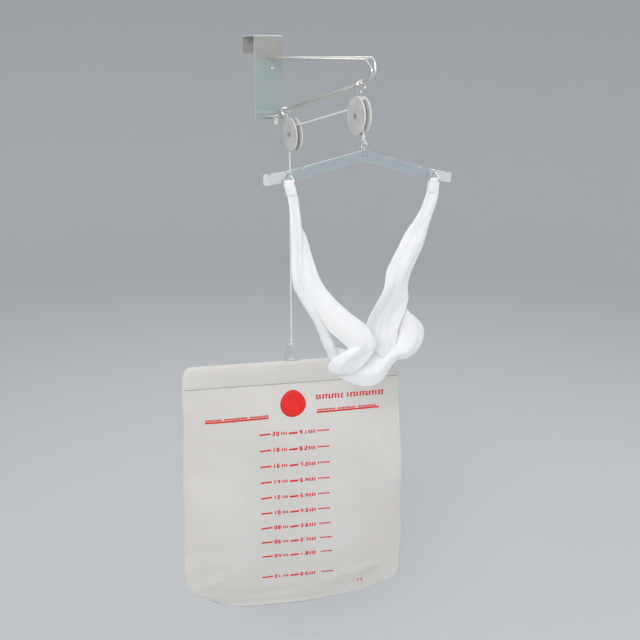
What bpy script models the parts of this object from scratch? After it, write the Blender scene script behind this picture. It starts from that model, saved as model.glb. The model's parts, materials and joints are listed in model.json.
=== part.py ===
"""Over-door cervical traction set: door plate, wire arm, two cord pulleys, spreader, halter and weight bag.

Row frame: metres, +Z up, +Y through the door. The origin is the middle of the over-door hook's seat on
the door's top edge. Lengths written below with MM are millimetres.
"""

import math

import bmesh
import bpy
import numpy as np
from mathutils import Matrix, Vector

MM = 0.001

# ---- driving dimensions, in millimetres -------------------------------------------------------------
GAP = 0.3  # clearance between neighbouring pieces
PLATE_W = 50.0  # width of the bent steel door plate
PLATE_T = 2.0  # its thickness
PLATE_DROP = 96.0  # from the arm's level to the plate's lower edge
ARM_LEVEL = -33.0  # height of the arm's top wires
DOOR_T = 46.0  # room for the door inside the hook
LIP_DROP = 26.0  # length of the rear lip
HEM_H = 12.0  # folded lower edge of the plate
TAB_W = 16.0  # tab that holds the strut's tails
TAB_OUT = 30.0  # how far the tab stands out
TAB_Z = -90.5  # the tab's middle, from the arm's level

ARM_REACH = 325.4  # from the plate to the nose, at the wire's centre
ROD_D = 3.2  # arm wire
ROD_X = 1.75  # each rod's distance from the middle plane
STRUT_TOP_U = 276.0
STRUT_LOW_U = 70.0
TAIL_U = 24.5

CORD_D = 2.6
CORD_R = 12.0  # radius at the cord's centre round a sheave
SHEAVE_R = 20.0  # flanges nearly as wide as the cheeks
SHEAVE_W = 5.4
CHEEK_HALF_W = 23.5
CHEEK_HALF_H = 26.0
CHEEK_T = 2.6
AXLE_D = 5.0
CROWN_LOW = SHEAVE_R + 0.9  # underside of the block that holds the hook between the cheeks
CROWN_TOP = CHEEK_HALF_H - 0.8
FRONT_U = 288.5  # front sheave's centre, outwards from the plate
FRONT_Z = -75.0
REAR_U = 85.0
REAR_Z = -114.0
HANGER_D = 2.4  # wire of the pulley hooks
FRONT_HOOK_U = 292.6
REAR_HOOK_U = 60.2

BAR_HALF = 148.0  # half the spreader's span
BAR_H = 14.8
BAR_T = 3.0
BAR_DROP = 31.5
BAR_APEX_Z = -127.1
BAR_TILT_DEG = 2.6  # the free-hanging spreader rests a little right-end-down
NOTCHES = (91.0, 115.0, 139.8)
NOTCH_W = 4.2
NOTCH_H = 2.6
BAR_HOLE_R = 1.9

FOLD_HALF_W = 6.2  # half the width of the webbing fold on each ring
BAND_T = 1.15

BAG_HALF_W = 186.0
BAG_TOP_Z = -488.0
BAG_H = 470.0
BAG_THICK = 44.0  # at the fullest place
BAG_YAW_DEG = -20.0
HEM_ROD_R = 2.0

FACE_Y = -DOOR_T / 2  # the door's front face

scene = bpy.context.scene
for old in list(bpy.data.objects):
    bpy.data.objects.remove(old, do_unlink=True)

parts = bpy.data.collections.new("cervical_traction_set")
cutters = bpy.data.collections.new("cutters")
scene.collection.children.link(parts)
scene.collection.children.link(cutters)


def at(x, u, z):
    """A point from millimetres: x, distance out from the plate's front face, height above the arm."""
    return Vector((x * MM, (FACE_Y - u - PLATE_T) * MM, (z + ARM_LEVEL) * MM))


def material(name, colour, metallic=0.0, roughness=0.5):
    m = bpy.data.materials.new(name)
    m.use_nodes = True
    shader = m.node_tree.nodes["Principled BSDF"]
    shader.inputs["Base Color"].default_value = (*colour, 1.0)
    shader.inputs["Metallic"].default_value = metallic
    shader.inputs["Roughness"].default_value = roughness
    m.diffuse_color = (*colour, 1.0)
    return m


def own(name, colour, metallic=0.0, roughness=0.5):
    return material("mat_" + name, colour, metallic, roughness)


CHROME = ((0.62, 0.62, 0.62), 1.0, 0.15)
PAINT = ((0.50, 0.53, 0.53), 0.0, 0.4)
BAR_PAINT = ((0.47, 0.53, 0.55), 0.0, 0.35)
PLASTIC = ((0.66, 0.66, 0.65), 0.0, 0.45)
CORD = ((0.78, 0.78, 0.76), 0.0, 0.9)
CLOTH = ((0.92, 0.92, 0.93), 0.0, 0.95)
VINYL = ((0.74, 0.72, 0.69), 0.0, 0.5)


def finish(o, look, smooth=True, angle=35.0):
    """Put a piece in the parts collection with its own material and clean outward faces."""
    m = o.data
    bm = bmesh.new()
    bm.from_mesh(m)
    bmesh.ops.remove_doubles(bm, verts=bm.verts, dist=1e-6)
    bmesh.ops.dissolve_degenerate(bm, edges=bm.edges, dist=1e-7)
    bmesh.ops.recalc_face_normals(bm, faces=bm.faces)
    bm.to_mesh(m)
    bm.free()
    m.materials.clear()
    m.materials.append(own(o.name, *look))
    for p in m.polygons:
        p.use_smooth = smooth
    if smooth:
        m.set_sharp_from_angle(angle=math.radians(angle))
    return o


def mesh_piece(name, verts, faces, look, collection=None, smooth=True):
    m = bpy.data.meshes.new(name)
    m.from_pydata([tuple(v) for v in verts], [], [tuple(f) for f in faces])
    m.update()
    o = bpy.data.objects.new(name, m)
    (collection or parts).objects.link(o)
    if look is not None:
        return finish(o, look, smooth)
    bm = bmesh.new()
    bm.from_mesh(m)
    bmesh.ops.recalc_face_normals(bm, faces=bm.faces)
    bm.to_mesh(m)
    bm.free()
    return o


def prism(name, outline, lo, hi, place, look, collection=None, smooth=True):
    """A closed outline (a, b) extruded from lo to hi; place(a, b, c) gives the point."""
    n = len(outline)
    verts = [place(a, b, c) for c in (lo, hi) for a, b in outline]
    faces = [tuple(range(n)), tuple(range(2 * n - 1, n - 1, -1))]
    faces += [(i, (i + 1) % n, n + (i + 1) % n, n + i) for i in range(n)]
    return mesh_piece(name, verts, faces, look, collection, smooth)


def baked(o):
    """Replace a curve or a modified mesh by its evaluated mesh, keeping its place."""
    dg = bpy.context.evaluated_depsgraph_get()
    dg.update()
    m = bpy.data.meshes.new_from_object(o.evaluated_get(dg))
    name, world, home = o.name, o.matrix_world.copy(), o.users_collection[0]
    bpy.data.objects.remove(o, do_unlink=True)
    m.name = name
    n = bpy.data.objects.new(name, m)
    home.objects.link(n)
    n.matrix_world = world
    return n


def rounded(points, radii, step_deg=15.0, closed=False):
    """A polyline with its corners replaced by arcs; a radius of 0 keeps the corner."""
    pts = [Vector(p) for p in points]
    out = []
    n = len(pts)
    for i, p in enumerate(pts):
        r = radii[i]
        if r <= 0 or (not closed and i in (0, n - 1)):
            out.append(p)
            continue
        a = (pts[i - 1] - p).normalized()
        b = (pts[(i + 1) % n] - p).normalized()
        between = a.angle(b)
        turn = math.pi - between
        if turn < math.radians(2.0):
            out.append(p)
            continue
        reach = r * math.tan(turn / 2)
        centre = p + (a + b).normalized() * (r / math.cos(turn / 2))
        start = p + a * reach - centre
        axis = start.cross(p + b * reach - centre).normalized()
        steps = max(2, math.ceil(math.degrees(turn) / step_deg))
        for k in range(steps + 1):
            out.append(centre + Matrix.Rotation(turn * k / steps, 3, axis) @ start)
    return out


def wire(name, points, diameter, look, closed=False, resolution=2):
    """A round wire along points, as a mesh."""
    c = bpy.data.curves.new(name, "CURVE")
    c.dimensions = "3D"
    c.bevel_depth = diameter / 2 * MM
    c.bevel_resolution = resolution
    c.use_fill_caps = not closed
    s = c.splines.new("POLY")
    s.points.add(len(points) - 1)
    for p, q in zip(s.points, points):
        p.co = (*q, 1.0)
    s.use_cyclic_u = closed
    o = bpy.data.objects.new(name, c)
    parts.objects.link(o)
    return finish(baked(o), look)


def lathe(name, profile, steps, look, place=None):
    """A turned piece: profile points are (radius, height along its axis) in millimetres."""
    closed = profile[0][0] > 1e-9
    m = bpy.data.meshes.new(name)
    edges = [(i, i + 1) for i in range(len(profile) - 1)]
    if closed:
        edges.append((len(profile) - 1, 0))
    m.from_pydata([(r * MM, 0.0, h * MM) for r, h in profile], edges, [])
    o = bpy.data.objects.new(name, m)
    parts.objects.link(o)
    s = o.modifiers.new("Turn", "SCREW")
    s.axis = "Z"
    s.angle = math.tau
    s.steps = steps
    s.render_steps = steps
    s.use_merge_vertices = True
    s.merge_threshold = 0.00001
    o = baked(o)
    if place is not None:
        o.data.transform(place)
    return finish(o, look)


def cut(o, cutter, operation="DIFFERENCE"):
    b = o.modifiers.new("Boolean " + cutter.name, "BOOLEAN")
    b.operation = operation
    b.solver = "EXACT"
    b.object = cutter
    cutter.hide_render = True
    cutter.display_type = "WIRE"
    return b


def cutter_box(name, lo, hi):
    (x0, y0, z0), (x1, y1, z1) = lo, hi
    v = [(x, y, z) for z in (z0, z1) for y in (y0, y1) for x in (x0, x1)]
    f = [(0, 2, 3, 1), (4, 5, 7, 6), (0, 1, 5, 4), (2, 6, 7, 3), (0, 4, 6, 2), (1, 3, 7, 5)]
    return mesh_piece(name, v, f, None, cutters)


def cutter_rod(name, a, b, radius, sides=20):
    a, b = Vector(a), Vector(b)
    q = (b - a).to_track_quat("Z", "Y").to_matrix().to_4x4()
    bm = bmesh.new()
    bmesh.ops.create_cone(
        bm,
        cap_ends=True,
        segments=sides,
        radius1=radius,
        radius2=radius,
        depth=(b - a).length,
        matrix=Matrix.Translation((a + b) / 2) @ q,
    )
    m = bpy.data.meshes.new(name)
    bm.to_mesh(m)
    bm.free()
    o = bpy.data.objects.new(name, m)
    cutters.objects.link(o)
    return o


def bevel(o, width, segments=1, angle=50.0):
    w = o.modifiers.new("Weld", "WELD")
    w.merge_threshold = 0.00002
    b = o.modifiers.new("Edges", "BEVEL")
    b.width = width * MM
    b.segments = segments
    b.limit_method = "ANGLE"
    b.angle_limit = math.radians(angle)
    b.harden_normals = False
    return b


# ---- door plate ------------------------------------------------------------------------------------
T = PLATE_T
PLATE_LOW = ARM_LEVEL - PLATE_DROP
FOLD = PLATE_T + 1.6
plate_outline = [
    (-T, PLATE_LOW + HEM_H),
    (-T, T),
    (DOOR_T + T, T),
    (DOOR_T + T, -LIP_DROP),
    (DOOR_T, -LIP_DROP),
    (DOOR_T, 0.0),
    (0.0, 0.0),
    (0.0, PLATE_LOW),
    (-FOLD, PLATE_LOW),
    (-FOLD, PLATE_LOW + HEM_H),
]
corner = [0, 3.0, 3.0, 0, 0, 1.0, 1.0, 0.8, 1.4, 1.0]
outline = rounded([(a, b, 0) for a, b in plate_outline], corner, 18.0, closed=True)
door_plate = prism(
    "door_plate",
    [(p.x, p.y) for p in outline],
    -PLATE_W / 2,
    PLATE_W / 2,
    lambda a, b, c: (c * MM, (a + FACE_Y) * MM, b * MM),
    PAINT,
)
tab_end = [
    (-TAB_W / 2, 1.0),
    (-TAB_W / 2, TAB_OUT),
    (TAB_W / 2, TAB_OUT),
    (TAB_W / 2, 1.0),
]
tab_outline = rounded([(a, b, 0) for a, b in tab_end], [0, 5.0, 5.0, 0], 22.5, closed=True)
tab = prism(
    "tab_union",
    [(p.x, p.y) for p in tab_outline],
    TAB_Z - T / 2,
    TAB_Z + T / 2,
    lambda a, b, c: at(a, b - 1.5, c),
    None,
    cutters,
)
cut(door_plate, tab, "UNION")
slot_half = ROD_X + ROD_D / 2 + GAP + 0.2
y0 = (FACE_Y - TAIL_U - PLATE_T - ROD_D / 2 - GAP) * MM
y1 = (FACE_Y - TAIL_U - PLATE_T + ROD_D / 2 + GAP) * MM
tab_z = (TAB_Z + ARM_LEVEL) * MM
cut(
    door_plate,
    cutter_box("tab_slot", (-slot_half * MM, y0, tab_z - 0.004), (slot_half * MM, y1, tab_z + 0.004)),
)
arm_z = ARM_LEVEL * MM
face = FACE_Y * MM
slot_lo = (-slot_half * MM, face - 0.004, arm_z - 0.0022)
slot_hi = (slot_half * MM, face + 0.002, arm_z + 0.0021)
cut(door_plate, cutter_box("wire_slot", slot_lo, slot_hi))
cut(door_plate, cutter_rod("keyhole", at(4.4, 3, -6.2), at(4.4, -4, -6.2), 1.9 * MM, 16))
RIVET_X, RIVET_Z = 5.6, -15.6
cut(
    door_plate,
    cutter_rod("rivet_hole", at(RIVET_X, 3, RIVET_Z), at(RIVET_X, -4, RIVET_Z), 1.7 * MM, 16),
)
bevel(door_plate, 0.35)
into_door = Matrix.Rotation(math.radians(-90), 4, "X")
lathe(
    "boss_rivet",
    [(0, -2.1), (1.6, -1.95), (2.5, -1.2), (2.6, -0.3), (1.4, -0.3), (1.4, 1.7), (0, 1.7)],
    16,
    CHROME,
    Matrix.Translation(at(RIVET_X, 0, RIVET_Z)) @ into_door,
)

# ---- arm: two bent wires, side by side --------------------------------------------------------------
rod_paths = {
    "arm_rod_right": (
        ROD_X,
        [
            (-1.6, 0.3, 0),
            (ARM_REACH, 0.3, 13.0),
            (ARM_REACH, -20.5, 9.0),
            (295.0, -34.6, 4.0),
            (287.0, -32.2, 4.0),
            (STRUT_TOP_U, -35.5, 5.0),
            (STRUT_LOW_U, -74.8, 5.0),
            (60.0, -79.0, 4.0),
            (50.0, -77.0, 4.0),
            (TAIL_U, -82.5, 3.0),
            (TAIL_U, -103.0, 0),
        ],
    ),
    "arm_rod_left": (
        -ROD_X,
        [
            (-1.6, -0.2, 0),
            (ARM_REACH - 18.4, -2.6, 10.0),
            (ARM_REACH - 2.0, -14.5, 8.0),
            (ARM_REACH - 2.6, -22.5, 7.0),
            (294.0, -37.4, 4.0),
            (286.0, -35.0, 4.0),
            (STRUT_TOP_U - 1.0, -38.3, 5.0),
            (STRUT_LOW_U, -77.6, 5.0),
            (60.0, -81.8, 4.0),
            (50.0, -79.8, 4.0),
            (TAIL_U, -85.3, 3.0),
            (TAIL_U, -103.0, 0),
        ],
    ),
}
rods = {}
for rod_name, (rod_x, rod) in rod_paths.items():
    line = rounded([(rod_x, u, z) for u, z, _ in rod], [r for _, _, r in rod], 15.0)
    rods[rod_name] = line
    wire(rod_name, [at(*p) for p in line], ROD_D, CHROME, resolution=3)


def rod_height(u):
    """Height of the upper rod's lower run at a distance from the plate."""
    line = rods["arm_rod_right"]
    best = None
    for a, b in zip(line[len(line) // 3 :], line[len(line) // 3 + 1 :]):
        if min(a.y, b.y) <= u <= max(a.y, b.y) and abs(a.y - b.y) > 1e-6:
            z = a.z + (b.z - a.z) * (u - a.y) / (b.y - a.y)
            best = z if best is None else min(best, z)
    return best


# ---- pulley blocks ----------------------------------------------------------------------------------
along_x = Matrix.Rotation(math.radians(90), 4, "Y")
LOOP_R = 5.7 + HANGER_D / 2  # hook loop, at the wire's centre


def cheek(name, side, place):
    """An oval side plate with a hole for the axle, its edges rounded over."""
    c = bpy.data.curves.new(name, "CURVE")
    c.dimensions = "2D"
    c.fill_mode = "BOTH"
    edge = 0.45
    c.extrude = (CHEEK_T / 2 - edge) * MM
    c.bevel_depth = edge * MM
    c.bevel_resolution = 1
    for kind in ("rim", "bore"):
        n = 30 if kind == "rim" else 14
        s = c.splines.new("POLY")
        s.points.add(n - 1)
        for i, p in enumerate(s.points):
            a = math.tau * i / n
            if kind == "rim":
                z = (CHEEK_HALF_H - edge) * math.sin(a)
                squeeze = 1.0 - 0.10 * max(0.0, -math.sin(a)) ** 2
                w = (CHEEK_HALF_W - edge) * squeeze
                p.co = (w * math.cos(a) * MM, z * MM, 0, 1)
            else:
                r = AXLE_D / 2 + GAP + edge
                p.co = (r * math.cos(a) * MM, -r * math.sin(a) * MM, 0, 1)
        s.use_cyclic_u = True
    o = bpy.data.objects.new(name, c)
    parts.objects.link(o)
    o = baked(o)
    stand = Matrix(((0, 0, 1, 0), (1, 0, 0, 0), (0, 1, 0, 0), (0, 0, 0, 1)))
    x = side * (SHEAVE_W / 2 + 0.5 + CHEEK_T / 2) * MM
    o.data.transform(place @ Matrix.Translation((x, 0, 0)) @ stand)
    return finish(o, PLASTIC)


def block(prefix, u, z, hook_u):
    hook_z = rod_height(hook_u) - 1.7
    centre = at(0, u, z)
    hook = at(0, hook_u, hook_z)
    up = (hook - centre).normalized()
    rise = (hook - centre).length / MM
    lean = math.atan2(-up.y, up.z)
    place = Matrix.Translation(centre) @ Matrix.Rotation(lean, 4, "X")
    turned = place @ along_x
    h = SHEAVE_W / 2
    groove = [(SHEAVE_R, -2.2), (12.0, -1.75), (10.6, -1.0), (10.35, 0), (10.6, 1.0), (12.0, 1.75)]
    bore = AXLE_D / 2 + GAP
    profile = [(bore, -h), (SHEAVE_R, -h)] + groove + [(SHEAVE_R, 2.2), (SHEAVE_R, h), (bore, h)]
    lathe(prefix + "_sheave", profile, 30, PLASTIC, turned)
    out = SHEAVE_W / 2 + 0.5 + CHEEK_T + GAP
    r = AXLE_D / 2
    head = [(0, -out - 1.1), (3.2, -out - 1.1), (4.0, -out - 0.5), (4.0, -out), (r, -out)]
    axle = head + [(r, out), (4.0, out), (4.0, out + 0.5), (3.2, out + 1.1), (0, out + 1.1)]
    lathe(prefix + "_axle", axle, 18, CHROME, turned)
    cheek(prefix + "_cheek_left", -1, place)
    cheek(prefix + "_cheek_right", 1, place)
    half = SHEAVE_W / 2 + 0.5 - GAP
    crown_shape = [(-8.5, CROWN_LOW), (8.5, CROWN_LOW), (6.5, CROWN_TOP), (-6.5, CROWN_TOP)]
    crown_line = rounded([(a, b, 0) for a, b in crown_shape], [1.2] * 4, 45.0, closed=True)
    crown = prism(
        prefix + "_crown",
        [(p.x, p.y) for p in crown_line],
        -half,
        half,
        lambda a, b, c: place @ Vector((c * MM, a * MM, b * MM)),
        PLASTIC,
    )
    hole = cutter_rod(
        prefix + "_stem_hole",
        place @ Vector((0, 0, (CROWN_LOW + 1.2) * MM)),
        place @ Vector((0, 0, (CROWN_TOP + 2.0) * MM)),
        (HANGER_D / 2 + GAP) * MM,
        14,
    )
    cut(crown, hole)
    pts = [(0, 0, CROWN_LOW + 1.6), (0, 0, rise - LOOP_R - 1.6)]
    start, stop = -88.0, -402.0
    for k in range(22):
        a = math.radians(start + (stop - start) * k / 21)
        pts.append((LOOP_R * math.cos(a), 0, rise + LOOP_R * math.sin(a)))
    wire(prefix + "_hook", [place @ (Vector(p) * MM) for p in pts], HANGER_D, CHROME, resolution=3)
    return place


block("front_pulley", FRONT_U, FRONT_Z, FRONT_HOOK_U)
block("rear_pulley", REAR_U, REAR_Z, REAR_HOOK_U)

# ---- cord -------------------------------------------------------------------------------------------
slope = math.atan2(FRONT_Z - REAR_Z, FRONT_U - REAR_U)
BAG_U = REAR_U - CORD_R
HANG_U = FRONT_U + CORD_R
REAR_RUN_TOP = REAR_Z - 28.0
FRONT_RUN_TOP = FRONT_Z - 13.0
cord = [(0, BAG_U, REAR_RUN_TOP)]
for k in range(9):
    a = math.pi + (math.pi / 2 + slope - math.pi) * k / 8
    cord.append((0, REAR_U + CORD_R * math.cos(a), REAR_Z + CORD_R * math.sin(a)))
for k in range(10):
    a = (math.pi / 2 + slope) * (1 - k / 9)
    cord.append((0, FRONT_U + CORD_R * math.cos(a), FRONT_Z + CORD_R * math.sin(a)))
cord.append((0, HANG_U, FRONT_RUN_TOP))
wire("cord_over_pulleys", [at(*p) for p in cord], CORD_D, CORD, resolution=2)

KNOT_Z = FRONT_Z - 27.0
BAG_KNOT_Z = -453.5
FRONT_RUN_END = KNOT_Z + 3.3
BAG_RUN_END = BAG_KNOT_Z + 3.6


def straight_cord(name, u, top, end):
    return lathe(
        name,
        [(0, top), (CORD_D / 2, top), (CORD_D / 2, end), (0, end)],
        12,
        CORD,
        Matrix.Translation(at(0, u, 0)),
    )


straight_cord("cord_front_run", HANG_U, FRONT_RUN_TOP - GAP, FRONT_RUN_END)
straight_cord("cord_bag_run", BAG_U, REAR_RUN_TOP - GAP, BAG_RUN_END)


def knot(name, u, z, radius, half_h, loop_r, loop_z, yaw):
    """A knotted cord end: a round knot with the small loop below it."""
    n = 8
    ball = [
        (radius * math.sin(math.pi * i / n), half_h * math.cos(math.pi * i / n)) for i in range(n + 1)
    ]
    ball[0] = (0, half_h)
    ball[-1] = (0, -half_h)
    body = lathe(name, ball, 16, CORD, Matrix.Translation(at(0, u, z)))
    ring = []
    for i in range(20):
        a = math.tau * i / 20
        d = Vector((0, math.cos(a), 0)) * loop_r
        d.rotate(Matrix.Rotation(math.radians(yaw), 3, "Z"))
        ring.append(at(0, u, loop_z) + Vector((d.x, d.y, loop_r * math.sin(a))) * MM)
    loop = wire(name + "_loop", ring, 2.2, CORD, closed=True)
    parts.objects.unlink(loop)
    cutters.objects.link(loop)
    cut(body, loop, "UNION")
    return body


LOOP_Z = KNOT_Z - 5.6
knot("front_knot", HANG_U, KNOT_Z, 2.95, 3.0, 3.4, LOOP_Z, 0.0)
BAG_LOOP_Z = BAG_KNOT_Z - 6.2
knot("bag_knot", BAG_U, BAG_KNOT_Z, 3.6, 3.3, 3.6, BAG_LOOP_Z, BAG_YAW_DEG)

# ---- S-hook -----------------------------------------------------------------------------------------
EYE_R = 4.4
EYE_Z = LOOP_Z - 3.4 + 2.6 - EYE_R
BEND_R = 5.2
BEND_Z = BAR_APEX_Z + 4.9
hook_pts = []
for k in range(19):
    a = math.radians(-65 + 310 * k / 18)
    hook_pts.append(Vector((EYE_R * math.cos(a), HANG_U, EYE_Z + EYE_R * math.sin(a))))
hook_pts.append(Vector((-0.9, HANG_U + 2.6, EYE_Z - EYE_R - 0.4)))
hook_pts.append(Vector((-0.1, HANG_U + BEND_R - 0.6, EYE_Z - EYE_R - 2.0)))
for k in range(13):
    a = math.radians(-180 * k / 12)
    hook_pts.append(Vector((0, HANG_U + BEND_R * math.cos(a), BEND_Z + BEND_R * math.sin(a))))
hook_pts.append(Vector((0, HANG_U - BEND_R, BEND_Z + 3.0)))
hook_pts.append(Vector((0, HANG_U - BEND_R - 1.2, BEND_Z + 5.2)))
wire("spreader_hook", [at(*p) for p in hook_pts], HANGER_D, CHROME, resolution=3)

# ---- spreader bar -----------------------------------------------------------------------------------


def bar_mid(x):
    """Height of the bar's middle line below its apex, at x."""
    x = abs(x)
    bend = 112.0
    if x <= bend:
        return -BAR_DROP * 0.845 * x / bend
    return -BAR_DROP * (0.845 + 0.155 * (x - bend) / (BAR_HALF - bend))


half_notch = NOTCH_W / 2
top = []
for sign in (-1, 1):
    side = []
    for n in NOTCHES:
        for dx, dz in ((-half_notch, 0.0), (-1.2, -NOTCH_H), (1.2, -NOTCH_H), (half_notch, 0.0)):
            side.append((n + dx, bar_mid(n + dx) + BAR_H / 2 + dz))
    side.append((BAR_HALF, bar_mid(BAR_HALF) + BAR_H / 2))
    side = [(sign * x, z) for x, z in side]
    top.append(side)
left_top = list(reversed(top[0]))
right_top = top[1]
lower = [(x, bar_mid(x) - BAR_H / 2) for x in (BAR_HALF, 112.0, 0.0, -112.0, -BAR_HALF)]
shape = left_top + [(0.0, BAR_H / 2)] + right_top + lower
fillets = [2.2] + [0] * (len(left_top) - 1) + [0] + [0] * (len(right_top) - 1) + [2.2]
fillets += [3.0, 0, 0, 0, 3.0]
bar_line = rounded([(a, b, 0) for a, b in shape], fillets, 22.5, closed=True)
pivot = at(0, HANG_U, BAR_APEX_Z)
tilt = Matrix.Translation(pivot) @ Matrix.Rotation(math.radians(BAR_TILT_DEG), 4, "Y")
spreader_bar = prism(
    "spreader_bar",
    [(p.x, p.y) for p in bar_line],
    -BAR_T / 2,
    BAR_T / 2,
    lambda a, b, c: tilt @ Vector((a * MM, c * MM, b * MM)),
    BAR_PAINT,
)
hole_z = BEND_Z - BEND_R + 0.1
a0 = at(0, HANG_U - 6, hole_z)
a1 = at(0, HANG_U + 6, hole_z)
cut(spreader_bar, cutter_rod("hook_hole", a0, a1, BAR_HOLE_R * MM, 16))
bevel(spreader_bar, 0.4)

# ---- halter rings: bent wire, hooked over the bar's notches --------------------------------------------
RING_D = 2.4
RING_DROP = 13.0  # from the seat in the notch to the wire that the webbing hangs on
RING_HALF_W = FOLD_HALF_W + 3.8
seat_x = NOTCHES[1]
ring_low = {}
for side, sign in (("left", -1), ("right", 1)):
    sx = sign * seat_x
    seat = bar_mid(seat_x) + BAR_H / 2 - NOTCH_H + RING_D / 2 + GAP
    off = BAR_T / 2 + RING_D / 2 + 0.6
    loop_y = -(BAR_T / 2 + RING_D / 2 + 2.2)
    pts = [
        (sx, off, seat - 9.5),
        (sx, off, seat),
        (sx, loop_y, seat),
        (sx - RING_HALF_W, loop_y, seat - RING_DROP),
        (sx + RING_HALF_W, loop_y, seat - RING_DROP),
        (sx + 2.4, loop_y - 0.4, seat - 3.2),
    ]
    line = rounded(pts, [0, 1.6, 1.4, 1.7, 1.7, 0], 22.5)
    wire(
        "halter_ring_" + side, [tilt @ (Vector(p) * MM) for p in line], RING_D, CHROME, resolution=2
    )
    ring_low[side] = tilt @ (Vector((sx, loop_y, seat - RING_DROP)) * MM)

# ---- halter straps: a webbing fold over each ring -------------------------------------------------------
FOLD_IN = RING_D / 2 + 0.4
FOLD_T = 1.4
FOLD_LEG = 19.0
fold_shape = [(-FOLD_IN - FOLD_T, -FOLD_LEG)]
for k in range(9):
    a = math.pi - math.pi * k / 8
    fold_shape.append(((FOLD_IN + FOLD_T) * math.cos(a), (FOLD_IN + FOLD_T) * math.sin(a)))
fold_shape += [(FOLD_IN + FOLD_T, -FOLD_LEG), (FOLD_IN, -FOLD_LEG)]
for k in range(9):
    a = math.pi * k / 8
    fold_shape.append((FOLD_IN * math.cos(a), FOLD_IN * math.sin(a)))
fold_shape.append((-FOLD_IN, -FOLD_LEG))
fold_tilt = Matrix.Rotation(math.radians(BAR_TILT_DEG), 4, "Y")
for side in ("left", "right"):
    base = Matrix.Translation(ring_low[side]) @ fold_tilt
    strap = prism(
        "halter_strap_" + side,
        fold_shape,
        -FOLD_HALF_W,
        FOLD_HALF_W,
        lambda a, b, c: base @ Vector((c * MM, a * MM, b * MM)),
        CLOTH,
    )


def band(name, stations):
    """A cloth band through stations (x, y out of the middle, z, width, slant in degrees)."""
    pts = np.array([s[:3] for s in stations], float)
    along = np.concatenate([[0], np.cumsum(np.linalg.norm(np.diff(pts, axis=0), axis=1))])
    t = np.linspace(0, along[-1], 61)
    smooth = np.stack([np.interp(t, along, pts[:, k]) for k in range(3)], 1)
    width = np.interp(t, along, [s[3] for s in stations])
    for _ in range(7):
        smooth[2:-2] = (smooth[1:-3] + 2 * smooth[2:-2] + smooth[3:-1]) / 4
        width[1:-1] = (width[:-2] + 2 * width[1:-1] + width[2:]) / 4
    for end in (0, -1):
        inside = smooth[:, 2] > pts[end, 2] - 22.0
        near = np.abs(smooth[:, 0] - pts[end, 0]) < 20.0
        smooth[inside & near, 1] = pts[end, 1]
    run = np.gradient(smooth, axis=0)
    run[0] = run[1] = (0, 0, -1)
    run[-1] = run[-2] = (0, 0, 1)
    verts = []
    faces = []
    cols = 5
    for i in range(len(t)):
        r = run[i] / np.linalg.norm(run[i])
        w = np.cross(r, (0.0, 1.0, 0.0))
        w /= np.linalg.norm(w)
        for j in range(cols):
            s = (j / (cols - 1) - 0.5) * width[i]
            verts.append(tuple((smooth[i] + w * s) * MM))
    for i in range(len(t) - 1):
        for j in range(cols - 1):
            a = i * cols + j
            faces.append((a, a + 1, a + cols + 1, a + cols))
    m = bpy.data.meshes.new(name)
    m.from_pydata(verts, [], faces)
    o = bpy.data.objects.new(name, m)
    parts.objects.link(o)
    s = o.modifiers.new("Cloth", "SOLIDIFY")
    s.thickness = BAND_T * MM
    s.offset = 0.0
    s.use_even_offset = False
    return finish(baked(o), CLOTH)


L = ring_low["left"] / MM
R = ring_low["right"] / MM
LEAF = BAND_T / 2 + GAP / 2


def hang(x, u, z):
    """Row-frame millimetres for a point of the halter given by its distance out and height."""
    return x, FACE_Y - u - PLATE_T, z + ARM_LEVEL


def stations(front, inner):
    y = -LEAF if front else LEAF
    rows = [
        (L.x, L.y + y, L.z - 6.0, 12.0),
        (L.x, L.y + y, L.z - 16.0, 12.0),
        (L.x + 0.5, L.y + y, L.z - 46.0, 14.0),
    ]
    rows += [(*hang(x, u, z), w) for x, u, z, w in inner]
    rows += [
        (R.x - 0.5, R.y + y, R.z - 46.0, 14.0),
        (R.x, R.y + y, R.z - 16.0, 12.0),
        (R.x, R.y + y, R.z - 6.0, 12.0),
    ]
    return rows


band(
    "chin_band",
    stations(
        True,
        [
            (-106, 309, -236, 24),
            (-93, 313, -290, 38),
            (-66, 320, -348, 46),
            (-40, 326, -400, 54),
            (-4, 329, -428, 58),
            (36, 328, -425, 58),
            (64, 323, -392, 54),
            (70, 317, -340, 46),
            (72, 312, -296, 40),
            (92, 309, -240, 28),
        ],
    ),
)
band(
    "neck_band",
    stations(
        False,
        [
            (-99, 299, -240, 22),
            (-80, 293, -292, 30),
            (-48, 286, -338, 38),
            (-14, 280, -372, 44),
            (22, 278, -388, 46),
            (60, 280, -384, 46),
            (84, 286, -352, 42),
            (78, 293, -304, 34),
            (93, 299, -242, 24),
        ],
    ),
)

# ---- weight bag -------------------------------------------------------------------------------------
bag_place = Matrix.Translation(at(0, BAG_U, 0)) @ Matrix.Rotation(math.radians(BAG_YAW_DEG), 4, "Z")


def bag_outline(t):
    """Half width of the bag at a height fraction, 0 at the top and 1 at the bottom."""
    side = BAG_HALF_W * (0.972 + 0.055 * math.sin(min(1.0, t * 1.25) * math.pi / 2))
    top_r, low_r = 0.040, 0.105
    if t < top_r:
        k = 1.0 - t / top_r
        side -= 16.0 * (1.0 - math.sqrt(max(0.0, 1.0 - k * k)))
    if t > 1.0 - low_r:
        k = 1.0 - (1.0 - t) / low_r
        side -= 48.0 * (1.0 - math.sqrt(max(0.0, 1.0 - k * k)))
    return side


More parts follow.
